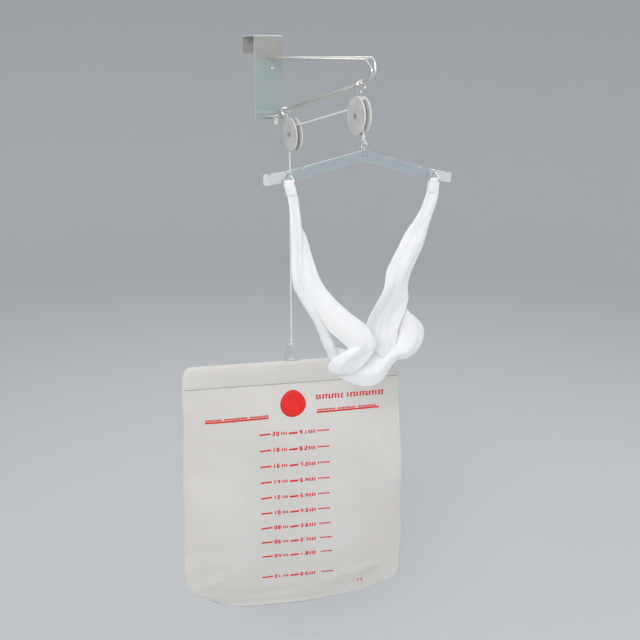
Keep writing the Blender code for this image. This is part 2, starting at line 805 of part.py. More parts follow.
def bag_half_thickness(s, t):
    """Half the bag's thickness at (s across, t down)."""
    edge = max(0.0, 1.0 - abs(s) ** 3.2)
    hem = 6.4 * (1.0 - min(1.0, max(0.0, (t - 0.055) / 0.035))) * (1 if t < 0.09 else 0)
    hem *= min(1.0, (t + 0.012) / 0.022)
    full = math.sin(math.pi * min(1.0, t / 0.97) ** 1.35) ** 0.8 if t < 0.97 else 0.0
    belly = (BAG_THICK / 2) * full * edge**0.8
    return 0.9 + max(hem * min(1.0, edge * 4.0), belly)


COLS = 24
rows_t = [0.0, 0.006, 0.014, 0.03, 0.05, 0.065, 0.08, 0.095]
rows_t += [0.095 + (0.965 - 0.095) * k / 18 for k in range(1, 19)]
rows_t += [0.982, 0.992, 1.0]
verts = []
for face_sign in (-1, 1):
    for t in rows_t:
        for i in range(COLS + 1):
            s = math.sin((i / COLS - 0.5) * math.pi)
            low = BAG_H * (1.0 - 0.055 * abs(s) ** 2.6)
            x = s * bag_outline(t)
            z = BAG_TOP_Z - low * t
            y = face_sign * bag_half_thickness(s, t)
            verts.append(bag_place @ Vector((x * MM, y * MM, z * MM)))
nr, nc = len(rows_t), COLS + 1
half_count = nr * nc
faces = []
for i in range(nr - 1):
    for j in range(nc - 1):
        a = i * nc + j
        faces.append((a, a + 1, a + nc + 1, a + nc))
        b = half_count + a
        faces.append((b, b + nc, b + nc + 1, b + 1))
for j in range(nc - 1):
    for i in (0, nr - 1):
        a = i * nc + j
        faces.append((a, a + 1, half_count + a + 1, half_count + a))
for i in range(nr - 1):
    for j in (0, nc - 1):
        a = i * nc + j
        faces.append((a, a + nc, half_count + a + nc, half_count + a))
weight_bag = mesh_piece("weight_bag", verts, faces, VINYL)
ROD_Z = BAG_TOP_Z - 11.0


def in_bag(x, y, z):
    return bag_place @ Vector((x * MM, y * MM, z * MM))


cut(
    weight_bag,
    cutter_rod("rod_sleeve", in_bag(-230, 0, ROD_Z), in_bag(230, 0, ROD_Z), (HEM_ROD_R + GAP) * MM, 16),
)
RING_WIRE = 3.0
LEG_Y = HEM_ROD_R + RING_WIRE / 2 + GAP
lo = Vector((-13.5, -(LEG_Y + RING_WIRE / 2 + GAP), ROD_Z - 8.5))
hi = Vector((13.5, LEG_Y + RING_WIRE / 2 + GAP, BAG_TOP_Z + 6))
slot = cutter_box("ring_slot", [c * MM for c in lo], [c * MM for c in hi])
slot.data.transform(bag_place)
cut(weight_bag, slot)
lathe(
    "hem_rod",
    [(0, -165), (HEM_ROD_R, -164.5), (HEM_ROD_R, 164.5), (0, 165)],
    14,
    CHROME,
    Matrix.Translation(in_bag(0, 0, ROD_Z)) @ Matrix.Rotation(math.radians(BAG_YAW_DEG), 4, "Z") @ along_x,
)
APEX_Z = BAG_LOOP_Z - 3.6 + 1.1 + RING_WIRE / 2 + GAP
base_z = ROD_Z - HEM_ROD_R - RING_WIRE / 2 - GAP
ring_shape = [
    (-3.2, 0, APEX_Z),
    (3.2, 0, APEX_Z),
    (10.0, LEG_Y, ROD_Z + 4.0),
    (10.0, LEG_Y, base_z),
    (-10.0, -LEG_Y, base_z),
    (-10.0, -LEG_Y, ROD_Z + 4.0),
]
ring_line = rounded(ring_shape, [2.0, 2.0, 6.0, 2.2, 2.2, 6.0], 22.5, closed=True)
wire("bag_ring", [in_bag(*p) for p in ring_line], RING_WIRE, CHROME, closed=True, resolution=3)
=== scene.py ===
# %% [markdown]
# # Over-door cervical traction set: the looks
#
# The CAD model gives the door plate, the wire arm, two cord pulleys, the notched spreader, a cloth
# head halter and a flat weight bag. Its hard pieces keep their shape here and get finishes. The limp
# things (cord, knots, halter, bag) are made again as what they really are.

import json
import math

import bpy
import numpy as np
from mathutils import Matrix, Vector, noise


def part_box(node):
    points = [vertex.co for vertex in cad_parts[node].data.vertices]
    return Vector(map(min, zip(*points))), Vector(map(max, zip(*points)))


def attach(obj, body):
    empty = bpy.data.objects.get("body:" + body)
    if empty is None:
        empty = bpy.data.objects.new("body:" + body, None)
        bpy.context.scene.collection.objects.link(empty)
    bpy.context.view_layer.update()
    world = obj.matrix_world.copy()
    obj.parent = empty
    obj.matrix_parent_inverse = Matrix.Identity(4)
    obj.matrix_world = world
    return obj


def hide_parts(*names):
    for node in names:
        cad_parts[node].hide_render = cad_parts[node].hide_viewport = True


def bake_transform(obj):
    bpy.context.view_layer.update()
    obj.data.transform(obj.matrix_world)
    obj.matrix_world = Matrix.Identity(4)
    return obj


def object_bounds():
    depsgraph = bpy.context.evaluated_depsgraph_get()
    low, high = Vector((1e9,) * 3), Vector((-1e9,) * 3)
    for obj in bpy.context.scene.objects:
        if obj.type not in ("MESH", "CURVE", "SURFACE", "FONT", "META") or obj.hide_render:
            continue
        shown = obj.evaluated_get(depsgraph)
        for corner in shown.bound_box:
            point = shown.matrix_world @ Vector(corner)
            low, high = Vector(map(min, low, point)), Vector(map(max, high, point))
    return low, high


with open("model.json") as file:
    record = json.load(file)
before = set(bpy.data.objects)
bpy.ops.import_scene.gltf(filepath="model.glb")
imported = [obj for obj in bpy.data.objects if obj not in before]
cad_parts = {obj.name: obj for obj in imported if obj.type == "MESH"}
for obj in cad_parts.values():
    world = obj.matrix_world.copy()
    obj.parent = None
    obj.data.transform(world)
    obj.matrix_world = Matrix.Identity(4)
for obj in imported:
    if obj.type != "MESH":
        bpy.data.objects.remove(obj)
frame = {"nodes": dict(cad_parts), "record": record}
nodes = frame["nodes"]
cad_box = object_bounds()
MM = 0.001


def middle(name):
    low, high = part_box(name)
    return (low + high) / 2


# %% [markdown]
# ## Camera, floor and light
#
# The set hangs at about head height, so the camera stands level with the arm, a little to the left,
# and looks down at the bag. The floor is a plain pale sheet well under the bag. One large soft light
# shows the cloth's folds from the left, and two weaker ones keep the bright wire readable.

# %% Camera
AZIMUTH = math.radians(27.93)
PITCH = math.radians(16.19)
CAMERA_AT = Vector((-0.633, -1.394, -0.032))
FOCAL_SHARE = 1.414  # focal length over the picture's width
SENSOR = 36.0

forward = Vector(
    (
        math.sin(AZIMUTH) * math.cos(PITCH),
        math.cos(AZIMUTH) * math.cos(PITCH),
        -math.sin(PITCH),
    )
)
camera = bpy.data.objects.new("camera", bpy.data.cameras.new("camera"))
camera.data.sensor_width = SENSOR
camera.data.lens = FOCAL_SHARE * SENSOR
camera.data.clip_end = 60.0
camera.location = CAMERA_AT
camera.rotation_euler = forward.to_track_quat("-Z", "Y").to_euler()
scene = bpy.context.scene
scene.collection.objects.link(camera)
scene.camera = camera
scene.view_settings.view_transform = "Standard"

# %% Node helpers


def wire_up(tree, value, socket):
    """Link value into socket when it is another node's output, or else store it there."""
    if isinstance(value, bpy.types.NodeSocket):
        tree.links.new(value, socket)
    else:
        socket.default_value = value


def add(tree, kind, *values, out=0, named=None, **settings):
    """Add a node, set it up, feed its inputs in order, and return one of its outputs."""
    made = tree.nodes.new(kind)
    for key, value in settings.items():
        setattr(made, key, value)
    for socket, value in zip(made.inputs, values):
        if value is not None:
            wire_up(tree, value, socket)
    for key, value in (named or {}).items():
        wire_up(tree, value, made.inputs[key])
    return made.outputs[out]


def maths(tree, operation, *values, clamp=False):
    return add(tree, "ShaderNodeMath", *values, operation=operation, use_clamp=clamp)


def times(tree, first, second):
    return maths(tree, "MULTIPLY", first, second)


def vectors(tree, operation, *values, **named):
    return add(tree, "ShaderNodeVectorMath", *values, named=named, operation=operation)


def blend_colour(tree, share, first, second):
    """Colour between first and second."""
    first, second = ((*c, 1.0) if isinstance(c, tuple) else c for c in (first, second))
    return add(tree, "ShaderNodeMix", share, named={6: first, 7: second}, out=2, data_type="RGBA")


def ramp(tree, value, low, high, to_low=0.0, to_high=1.0):
    limits = (value, low, high, to_low, to_high)
    return add(tree, "ShaderNodeMapRange", *limits, interpolation_type="SMOOTHSTEP")


def group(name, inputs, outputs):
    """A shader node group with named sockets; returns the tree, its input node and its output node."""
    tree = bpy.data.node_groups.new(name, "ShaderNodeTree")
    for label, value in inputs.items():
        kind = "NodeSocketVector" if isinstance(value, tuple) else "NodeSocketFloat"
        tree.interface.new_socket(label, in_out="INPUT", socket_type=kind).default_value = value
    for label in outputs:
        tree.interface.new_socket(label, in_out="OUTPUT", socket_type="NodeSocketFloat")
    return tree, tree.nodes.new("NodeGroupInput").outputs, tree.nodes.new("NodeGroupOutput").inputs


def use(tree, shared, out, **values):
    """Place a shared group in a material and return its output called out."""
    named = {key.replace("_", " ").capitalize(): value for key, value in values.items()}
    return add(tree, "ShaderNodeGroup", named=named, out=out, node_tree=shared)


def here(tree):
    return add(tree, "ShaderNodeTexCoord", out="Object")


# %% Object helpers


def placed(name, data):
    """A new object in the scene that shows data."""
    o = bpy.data.objects.new(name, data)
    scene.collection.objects.link(o)
    return o


def applied(o):
    """The mesh that o shows with its modifiers applied."""
    return bpy.data.meshes.new_from_object(o.evaluated_get(bpy.context.evaluated_depsgraph_get()))


def smooth(mesh):
    for face in mesh.polygons:
        face.use_smooth = True
    return mesh


def grid_faces(rows, cols, first=0):
    """The quads of a grid of points; first is the index of its first point."""
    corners = [first + i * cols + j for i in range(rows - 1) for j in range(cols - 1)]
    return [(a, a + cols, a + cols + 1, a + 1) for a in corners]


def mesh_piece(name, points, faces, look):
    """A new mesh object with one finish."""
    mesh = bpy.data.meshes.new(name)
    mesh.from_pydata([tuple(p) for p in points], [], faces)
    mesh.materials.append(look)
    return placed(name, mesh)


# %% [markdown]
# ## Shared effects
#
# Every finish on the set shows two or three small effects: the fine grain of a sprayed or moulded
# skin, uneven handling marks, and rims painted paler than the faces, partly as wear and partly as a
# painted highlight. Each one is a node group, so a finish only says how strong it is. The cloth's
# plain weave is one too, and it reads the cloth's own map, so the threads follow the strap.

# %% Grain, marks, rims and weave
tree, given, result = group("fine grain", {"Scale": 900.0, "Stretch": (1, 1, 1)}, ["Height"])
spot = vectors(tree, "MULTIPLY", here(tree), given["Stretch"])
soft = add(tree, "ShaderNodeTexNoise", named={"Vector": spot, "Scale": given["Scale"], "Detail": 4.0})
wire_up(tree, soft, result["Height"])
fine_grain = tree

tree, given, result = group("handling marks", {"Scale": 30.0, "Cover": 0.5}, ["Mask", "Cloud"])
cloud = add(tree, "ShaderNodeTexNoise", named={"Vector": here(tree), "Scale": given["Scale"], "Detail": 6.0})
tall = vectors(tree, "MULTIPLY", here(tree), (1.0, 1.0, 0.12))
finer = times(tree, given["Scale"], 7.0)
streak = add(tree, "ShaderNodeTexNoise", named={"Vector": tall, "Scale": finer, "Detail": 3.0})
level = maths(tree, "SUBTRACT", 0.75, times(tree, given["Cover"], 0.3))
both = maths(tree, "ADD", times(tree, cloud, 0.55), times(tree, streak, 0.45))
wire_up(tree, ramp(tree, both, maths(tree, "SUBTRACT", level, 0.12), level), result["Mask"])
wire_up(tree, cloud, result["Cloud"])
marks = tree

# Rims are painted paler than the faces: partly worn paint, partly a painted highlight.
tree, given, result = group("rim wear and highlight", {"Face": (0.0, 1.0, 0.0), "Sharpness": 0.75}, ["Mask"])
normal = add(tree, "ShaderNodeNewGeometry", out="True Normal")
facing = add(tree, "ShaderNodeVectorMath", normal, given["Face"], operation="DOT_PRODUCT", out="Value")
wire_up(tree, ramp(tree, maths(tree, "ABSOLUTE", facing), 0.98, given["Sharpness"]), result["Mask"])
rim_wear_and_highlight = tree

tree, given, result = group("plain weave", {"Threads per mm": 1.6}, ["Height", "Gap"])
cloth_map = add(tree, "ShaderNodeUVMap", uv_map="cloth")
threads = vectors(tree, "SCALE", cloth_map, Scale=given["Threads per mm"])
across, along = (add(tree, "ShaderNodeSeparateXYZ", threads, out=axis) for axis in "XY")
waves = (maths(tree, "SINE", times(tree, way, math.pi)) for way in (across, along))
warp, weft = (maths(tree, "ABSOLUTE", wave) for wave in waves)
thread_number = maths(tree, "ADD", maths(tree, "FLOOR", across), maths(tree, "FLOOR", along))
parity = maths(tree, "PINGPONG", thread_number, 1.0)
under = times(tree, maths(tree, "SUBTRACT", 1.0, parity), weft)
over = maths(tree, "ADD", times(tree, parity, warp), under)
wire_up(tree, over, result["Height"])
wire_up(tree, maths(tree, "SUBTRACT", 1.0, maths(tree, "MAXIMUM", warp, weft)), result["Gap"])
plain_weave = tree

# %% One place that starts a finish


def new_finish(name, metallic=0.0, **sockets):
    m = bpy.data.materials.new(name)
    m.use_nodes = True
    shader = m.node_tree.nodes["Principled BSDF"]
    shader.inputs["Metallic"].default_value = metallic
    for key, value in sockets.items():
        shader.inputs[key.replace("_", " ")].default_value = value
    return m, m.node_tree, shader


def dress(tree, shader, colour, rough):
    """Feed a finish its changing colour and roughness."""
    tree.links.new(colour, shader.inputs["Base Color"])
    tree.links.new(rough, shader.inputs["Roughness"])


def bumped(tree, shader, height, distance, strength):
    bump = {"Strength": strength, "Distance": distance, "Height": height}
    tree.links.new(add(tree, "ShaderNodeBump", named=bump), shader.inputs["Normal"])


def grain_of(tree, scale, stretch=(1, 1, 1)):
    return use(tree, fine_grain, "Height", scale=scale, stretch=stretch)


def tinted(tree, colour, mask, share, tint):
    """The colour with a tint over it where mask is high, share strong at most."""
    return blend_colour(tree, times(tree, mask, share), colour, tint)


# %% [markdown]
# ## Paint on the plate and the spreader
#
# Both are bent or stamped steel under satin paint. The plate's upper part, behind the arm, is a warmer
# grey, and below it the paint turns blue-grey. The rims are paler: partly paint lost at the corners,
# partly a painted highlight.
# The spreader is bluer, and its ends, past the strap seats, turn nearly white.

# %% Painted steel


def paint(name, base, second, rim_wear_and_highlight_colour, second_share):
    m, tree, shader = new_finish(name, IOR=1.48, Coat_Weight=0.12)
    cloud = use(tree, marks, "Cloud", scale=22.0)
    colour = blend_colour(tree, second_share(tree), base, second)
    colour = blend_colour(tree, ramp(tree, cloud, 0.35, 0.7, 0.0, 0.10), colour, (0.62, 0.63, 0.61))
    scuffs = use(tree, marks, "Mask", scale=60.0, cover=0.25)
    colour = tinted(tree, colour, scuffs, 0.22, (0.28, 0.29, 0.29))
    # Paler rims: partly worn paint, partly a painted highlight on the edges.
    rim = use(tree, rim_wear_and_highlight, "Mask")
    colour = tinted(tree, colour, rim, 0.75, rim_wear_and_highlight_colour)
    dress(tree, shader, colour, ramp(tree, cloud, 0.3, 0.7, 0.34, 0.5))
    bumped(tree, shader, grain_of(tree, 1400.0), 0.00012, 0.35)
    return m


ARM_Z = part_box("arm_rod_left")[1].z


def place_on(tree, axis):
    return add(tree, "ShaderNodeSeparateXYZ", here(tree), out=axis)


def above_the_arm(tree):
    return ramp(tree, place_on(tree, "Z"), ARM_Z - 0.010, ARM_Z + 0.004)


NOTCH_SEAT = middle("halter_ring_right").x


def past_the_straps(tree):
    place = maths(tree, "ABSOLUTE", place_on(tree, "X"))
    return ramp(tree, place, NOTCH_SEAT - 0.008, NOTCH_SEAT + 0.002)


plate_paint = paint(
    "plate paint", (0.315, 0.365, 0.365), (0.33, 0.33, 0.315), (0.62, 0.64, 0.63), above_the_arm
)
bar_paint = paint(
    "spreader paint", (0.33, 0.385, 0.40), (0.60, 0.62, 0.63), (0.60, 0.64, 0.65), past_the_straps
)

# %% [markdown]
# ## Bright wire, steel and the pulleys
#
# The arm is plated wire. Its strut is tinted tan, a painted reflection of a tan floor, while the hooks
# stay bright. Real plated wire isn't a mirror: the roughness wanders along it. The pulley cheeks are
# moulded plastic, with a faint flow pattern and a fine matt skin.

# %% Metals and plastic


def metal(name, colour, tarnish_and_reflection, tarnish_and_reflection_share, rough, stretch=(1, 1, 1), patches=90.0, relief=0.4):
    m, tree, shader = new_finish(name, metallic=1.0)
    cloud = use(tree, marks, "Cloud", scale=patches)
    # This tint is a painted reflection on the arm's strut, and random tarnish patches on the other metals.
    share = maths(tree, "MULTIPLY", ramp(tree, cloud, 0.25, 0.6), tarnish_and_reflection_share(tree), clamp=True)
    lines = grain_of(tree, 500.0, stretch=stretch)
    rough = ramp(tree, lines, 0.3, 0.75, rough, rough + 0.16)
    dress(tree, shader, blend_colour(tree, share, colour, tarnish_and_reflection), rough)
    bumped(tree, shader, lines, 0.00006, relief)
    return m


STRUT_TOP_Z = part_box("front_pulley_hook")[1].z


# Under the front pulley's hook the strut takes the tan tint in full, the upper wires a little: a painted
# reflection of a tan floor.
def under_the_arm(tree):
    return ramp(tree, place_on(tree, "Z"), STRUT_TOP_Z + 0.010, STRUT_TOP_Z - 0.008, 0.15, 1.0)


def a_little(tree):
    return 0.25


arm_wire = metal(
    "plated arm wire", (0.84, 0.83, 0.80), (0.76, 0.73, 0.65), under_the_arm, 0.26, patches=24.0, relief=0.12
)
bright_wire = metal("bright hook wire", (0.84, 0.84, 0.84), (0.62, 0.61, 0.58), a_little, 0.10)
clip_metal = metal("pressed clip", (0.70, 0.70, 0.69), (0.56, 0.56, 0.54), a_little, 0.34)
turned_steel = metal("turned steel", (0.66, 0.66, 0.65), (0.50, 0.50, 0.48), a_little, 0.24, (1, 9, 9))

pulley_plastic, tree, shader = new_finish("pulley plastic", IOR=1.46, Subsurface_Weight=0.05)
flow = use(tree, marks, "Cloud", scale=55.0)
colour = blend_colour(tree, ramp(tree, flow, 0.3, 0.7), (0.50, 0.50, 0.49), (0.60, 0.60, 0.585))
soil = use(tree, marks, "Mask", scale=80.0, cover=0.3)
colour = tinted(tree, colour, soil, 0.25, (0.33, 0.32, 0.30))
# Paler rims and groove on the pulleys: a painted highlight.
rim = use(tree, rim_wear_and_highlight, "Mask", face=(1, 0, 0))
colour = tinted(tree, colour, rim, 0.45, (0.74, 0.74, 0.73))
dress(tree, shader, colour, ramp(tree, flow, 0.3, 0.7, 0.38, 0.52))
bumped(tree, shader, grain_of(tree, 1100.0), 0.0001, 0.5)

# %% Put the finishes on the CAD nodes that stay
finish_of_slot = {
    "plate_paint": plate_paint,
    "bar_paint": bar_paint,
    "arm_wire": arm_wire,
    "hook_wire": bright_wire,
    "rivet": bright_wire,
    "axle_steel": turned_steel,
    "hem_steel": turned_steel,
    "pulley_plastic": pulley_plastic,
}
for part in frame["record"]["subparts"]:
    look = finish_of_slot.get(part["material_slot"])
    if look:
        kept = nodes[part["node"]].data
        kept.materials.clear()
        kept.materials.append(look)

# %% [markdown]
# ## The cord
#
# The cord is one length of thin laid rope. It comes up from the spreader's hook, goes over the front
# pulley and the rear one, and drops to the bag. It is always tight. Each strand is a tube on a helix
# round the cord's own line, so Geometry Nodes follow the route's points, and the same tree makes the
# knots. The two hanging stretches are separate pieces, because they grow and shrink as the bag rises.

# %% Cord finish
cord_finish, tree, shader = new_finish("cord fibre", Sheen_Weight=0.25)
fibre = grain_of(tree, 1500.0, stretch=(1, 1, 0.25))
colour = blend_colour(tree, ramp(tree, fibre, 0.3, 0.7), (0.64, 0.635, 0.62), (0.86, 0.86, 0.845))
dress(tree, shader, colour, ramp(tree, fibre, 0.3, 0.7, 0.9, 0.75))
bumped(tree, shader, fibre, 0.0002, 0.7)

# %% The laid-rope tree
STRANDS = 3
CORD_D = 0.0026


def geometry_tree(name, sizes, look):
    """A Geometry Nodes tree with number sockets and a material socket; returns it and its inputs."""
    t = bpy.data.node_groups.new(name, "GeometryNodeTree")
    sockets = t.interface
    sockets.new_socket("Geometry", in_out="INPUT", socket_type="NodeSocketGeometry")
    for label, value in sizes.items():
        sockets.new_socket(label, in_out="INPUT", socket_type="NodeSocketFloat").default_value = value
    sockets.new_socket(look, in_out="INPUT", socket_type="NodeSocketMaterial")
    sockets.new_socket("Geometry", in_out="OUTPUT", socket_type="NodeSocketGeometry")
    return t, t.nodes.new("NodeGroupInput").outputs


def resampled(t, curve, step):
    return add(t, "GeometryNodeResampleCurve", named={"Curve": curve, "Length": step}, mode="LENGTH")


def rope_tree():
    t, given = geometry_tree("laid rope", {"Rope diameter": CORD_D, "Pitch": 0.0085, "Step": 0.0011}, "Fibre")
    fine = resampled(t, given["Geometry"], given["Step"])
    normal = add(t, "GeometryNodeInputNormal")
    side = vectors(t, "CROSS_PRODUCT", add(t, "GeometryNodeInputTangent"), normal)
    length = add(t, "GeometryNodeSplineParameter", out="Length")
    turn = times(t, maths(t, "DIVIDE", length, given["Pitch"]), math.tau)
    lay = times(t, given["Rope diameter"], 0.25)
    thick = times(t, given["Rope diameter"], 0.275)
    ring = add(t, "GeometryNodeCurvePrimitiveCircle", named={"Resolution": 8, "Radius": thick})
    joined = t.nodes.new("GeometryNodeJoinGeometry")
    for k in range(STRANDS):
        angle = maths(t, "ADD", turn, math.tau * k / STRANDS)
        a = vectors(t, "SCALE", normal, Scale=times(t, maths(t, "COSINE", angle), lay))
        b = vectors(t, "SCALE", side, Scale=times(t, maths(t, "SINE", angle), lay))
        strand = {"Geometry": fine, "Offset": vectors(t, "ADD", a, b)}
        strand = add(t, "GeometryNodeSetPosition", named=strand)
        tube = {"Curve": strand, "Profile Curve": ring, "Fill Caps": True}
        t.links.new(add(t, "GeometryNodeCurveToMesh", named=tube), joined.inputs[0])
    look = {"Geometry": joined.outputs[0], "Material": given["Fibre"]}
    real = add(t, "GeometryNodeRealizeInstances", add(t, "GeometryNodeSetMaterial", named=look))
    wire_up(t, real, t.nodes.new("NodeGroupOutput").inputs[0])
    return t


laid_rope = rope_tree()


def cast(name, o, look):
    """Turn a curve object into a plain mesh piece with one finish."""
    made = applied(o)
    bpy.data.objects.remove(o)
    made.materials.clear()
    made.materials.append(look)
    return placed(name, made)


def settle(o, tree, **inputs):
    """Run a Geometry Nodes tree on o and keep the result as a plain mesh of the same name."""
    name = o.name
    modifier = o.modifiers.new("shape", "NODES")
    modifier.node_group = tree
    for item in tree.interface.items_tree:
        if item.item_type == "SOCKET" and item.in_out == "INPUT" and item.name in inputs:
            modifier[item.identifier] = inputs[item.name]
    made = smooth(applied(o))
    bpy.data.objects.remove(o)
    made.name = name
    return placed(name, made)


def route(name, *lines, closed=()):
    """A curve object with one straight-sided spline for each list of points."""
    data = bpy.data.curves.new(name, "CURVE")
    data.dimensions = "3D"
    for k, line in enumerate(lines):
        spline = data.splines.new("POLY")
        spline.points.add(len(line) - 1)
        for point, place in zip(spline.points, line):
            point.co = (*place, 1.0)
        spline.use_cyclic_u = k in closed
    return placed(name, data)


def rope(name, *lines, closed=(), diameter=CORD_D):
    sizes = {"Rope diameter": diameter, "Pitch": diameter * 3.3, "Step": diameter * 0.42}
    return settle(route(name, *lines, closed=closed), laid_rope, **sizes, Fibre=cord_finish)


# %% Cord over the pulleys
CORD_R = 0.0120  # radius of the cord's line round a sheave
front = middle("front_pulley_sheave")
rear = middle("rear_pulley_sheave")
slope = math.atan2(front.z - rear.z, rear.y - front.y)


def round_sheave(centre, start, stop, count):
    """Points on the cord's line round a sheave; angle 0 points away from the door."""
    out = []
    for k in range(count):
        a = start + (stop - start) * k / (count - 1)
        out.append(Vector((0, centre.y - CORD_R * math.cos(a), centre.z + CORD_R * math.sin(a))))
    return out


rear_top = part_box("cord_bag_run")[1].z
front_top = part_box("cord_front_run")[1].z
JOIN = 0.0003  # how far the cord's pieces run into each other
over_line = [Vector((0, rear.y + CORD_R, rear_top + JOIN))]
over_line += round_sheave(rear, math.pi, math.pi / 2 + slope, 14)
over_line += round_sheave(front, math.pi / 2 + slope, 0.0, 14)
over_line.append(Vector((0, front.y - CORD_R, front_top + JOIN)))
cord_over = rope("cord_over", over_line)
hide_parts("cord_over_pulleys")
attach(cord_over, "bracket")


# %% Hanging stretches
bag_x_y = (0.0, rear.y + CORD_R)
front_x_y = (0.0, front.y - CORD_R)


def down(place, top, end, step=0.004):
    count = max(2, round((top - end) / step) + 1)
    return [Vector((*place, top + (end - top) * k / (count - 1))) for k in range(count)]


front_line = down(front_x_y, front_top + JOIN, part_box("cord_front_run")[0].z)
bag_line = down(bag_x_y, rear_top + JOIN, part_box("cord_bag_run")[0].z)


def hanging(name, node, line):
    """A straight stretch of hanging cord; the real one grows as its lower body moves down."""
    o = rope(name, line)
    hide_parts(node)
    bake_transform(o)
    return o


cord_front = hanging("cord_front", "cord_front_run", front_line)
cord_bag = hanging("cord_bag", "cord_bag_run", bag_line)

# %% [markdown]
# ## Knots
#
# Each end of the cord is tied in an overhand knot above a small loop. A trefoil curve is an overhand
# knot whose ends are joined, so one drawn at the cord's own thickness reads as the real knot. The loop
# below it is a plain ring of the same rope, which the hook or the clip passes through.

# %% Overhand knots
HALF_ROPE = 0.0011
TREFOIL_SPAN = 7.6  # a trefoil's height, rope included, at size 1


def knotted(name, node, body, turned):
    low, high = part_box(node)
    x, y, _ = middle(node)
    loop_r = (high.y - low.y) / 2 - HALF_ROPE if turned == 0 else 0.0036
    loop_z = low.z + HALF_ROPE + loop_r
    size = ((high.z - low.z) - 2 * loop_r - 2 * HALF_ROPE + 0.0012) / TREFOIL_SPAN
    knot_z = high.z - 3.1 * size - 0.0004
    tilt = Matrix.Rotation(turned, 3, "Z")
    knot = []
    for k in range(48):
        a = math.tau * k / 48
        reach = 2 + math.cos(3 * a)
        p = Vector((math.sin(3 * a) * 1.25, reach * math.cos(2 * a), reach * math.sin(2 * a)))
        knot.append(Vector((x, y, knot_z)) + tilt @ p * size)
    angles = [math.tau * k / 24 for k in range(24)]
    centre = Vector((x, y, loop_z))
    loop = [centre + tilt @ Vector((0, math.cos(a), math.sin(a))) * loop_r for a in angles]
    stem = [Vector((x, y, high.z + 0.0005)), Vector((x, y, knot_z))]
    o = rope(name, knot, loop, stem, closed=(0, 1), diameter=0.0021)
    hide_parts(node)
    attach(o, body)
    return o


YAW = math.radians(-20.0)  # how far the bag has turned on its cord
knot_front = knotted("knot_at_hook", "front_knot", "front_cord_end", 0.0)
knot_bag = knotted("knot_at_clip", "bag_knot", "bag_cord_end", YAW)

# %% [markdown]
# ## Cloth finish and the stitch tree
#
# The halter is a soft white cotton. Its weave is far too fine to model, so it is a bump that follows
# the cloth's own map in millimetres. The seams are real stitches: short threads set along a seam line
# by Geometry Nodes, which turn each one along the line and sink it a little into the cloth.

# %% Cloth and thread
halter_cloth, tree, shader = new_finish("halter cotton", Sheen_Weight=0.35, Sheen_Roughness=0.5)
weave = use(tree, plain_weave, "Height")
gap = use(tree, plain_weave, "Gap")
tone = use(tree, marks, "Cloud", scale=14.0)
colour = blend_colour(tree, ramp(tree, tone, 0.3, 0.7), (0.86, 0.87, 0.89), (0.93, 0.93, 0.935))
# Painted shade: the gaps between the threads are tinted grey.
colour = tinted(tree, colour, gap, 0.35, (0.62, 0.63, 0.66))
dress(tree, shader, colour, ramp(tree, weave, 0.0, 1.0, 0.95, 0.8))
bumped(tree, shader, weave, 0.00018, 0.5)

thread, tree, shader = new_finish("white thread", Sheen_Weight=0.2)
twist = grain_of(tree, 2600.0)
colour = blend_colour(tree, twist, (0.66, 0.66, 0.67), (0.88, 0.88, 0.88))
dress(tree, shader, colour, ramp(tree, twist, 0.2, 0.8, 0.8, 0.6))
bumped(tree, shader, twist, 0.00008, 0.6)


def stitch_tree():
    sizes = {"Stitch pitch": 0.0032, "Stitch length": 0.0023, "Thread": 0.00055}
    t, given = geometry_tree("row of stitches", sizes, "Finish")
    spaced = resampled(t, given["Geometry"], given["Stitch pitch"])
    bead = add(t, "GeometryNodeMeshUVSphere", named={"Segments": 6, "Rings": 4, "Radius": 0.5})
    size = add(t, "ShaderNodeCombineXYZ", given["Thread"], given["Thread"], given["Stitch length"])
    tangent = add(t, "GeometryNodeInputTangent")
    turned = add(t, "FunctionNodeAlignRotationToVector", named={"Vector": tangent}, axis="Z")
    row = {"Points": spaced, "Instance": bead, "Rotation": turned, "Scale": size}
    real = add(t, "GeometryNodeRealizeInstances", add(t, "GeometryNodeInstanceOnPoints", named=row))
    last = add(t, "GeometryNodeSetMaterial", named={"Geometry": real, "Material": given["Finish"]})
    wire_up(t, last, t.nodes.new("NodeGroupOutput").inputs[0])
    return t


stitch_row = stitch_tree()


def stitches(name, *lines, pitch=0.0032, length=0.0023, thickness=0.00055):
    sizes = {"Stitch pitch": pitch, "Stitch length": length, "Thread": thickness, "Finish": thread}
    return settle(route(name, *lines), stitch_row, **sizes)


# %% [markdown]
# ## Halter
#
# A head halter is two cloth bands that hang from the spreader: one goes under the chin, the other
# behind the neck. With no head in it, it goes limp: the two bands lie against each other at the left,
# part in a leaf-shaped gap, and crumple where they meet. Each band here is a surface between two edge
# lines, which are the few points a cutter would pin. Smooth curves join the pins, the middle bows
# forward, soft pleats run along it, and Solidify gives the cloth its thickness.

# %% Where halter points are
BAR_Y = front.y - CORD_R  # the spreader hangs under the front cord
ARM_LEVEL = 0.033  # the arm is this far under the door's top edge
BAND_T = 0.0015
SWAY_X, SWAY_Z = -0.53, 0.33  # cloth that comes forward also shifts left and up


def pin(x, z, out=0.0):
    """A halter point in millimetres: across, height above the arm, and out from the spreader."""
    return Vector(((x + SWAY_X * out) * MM, BAR_Y - out * MM, (z + SWAY_Z * out) * MM - ARM_LEVEL))


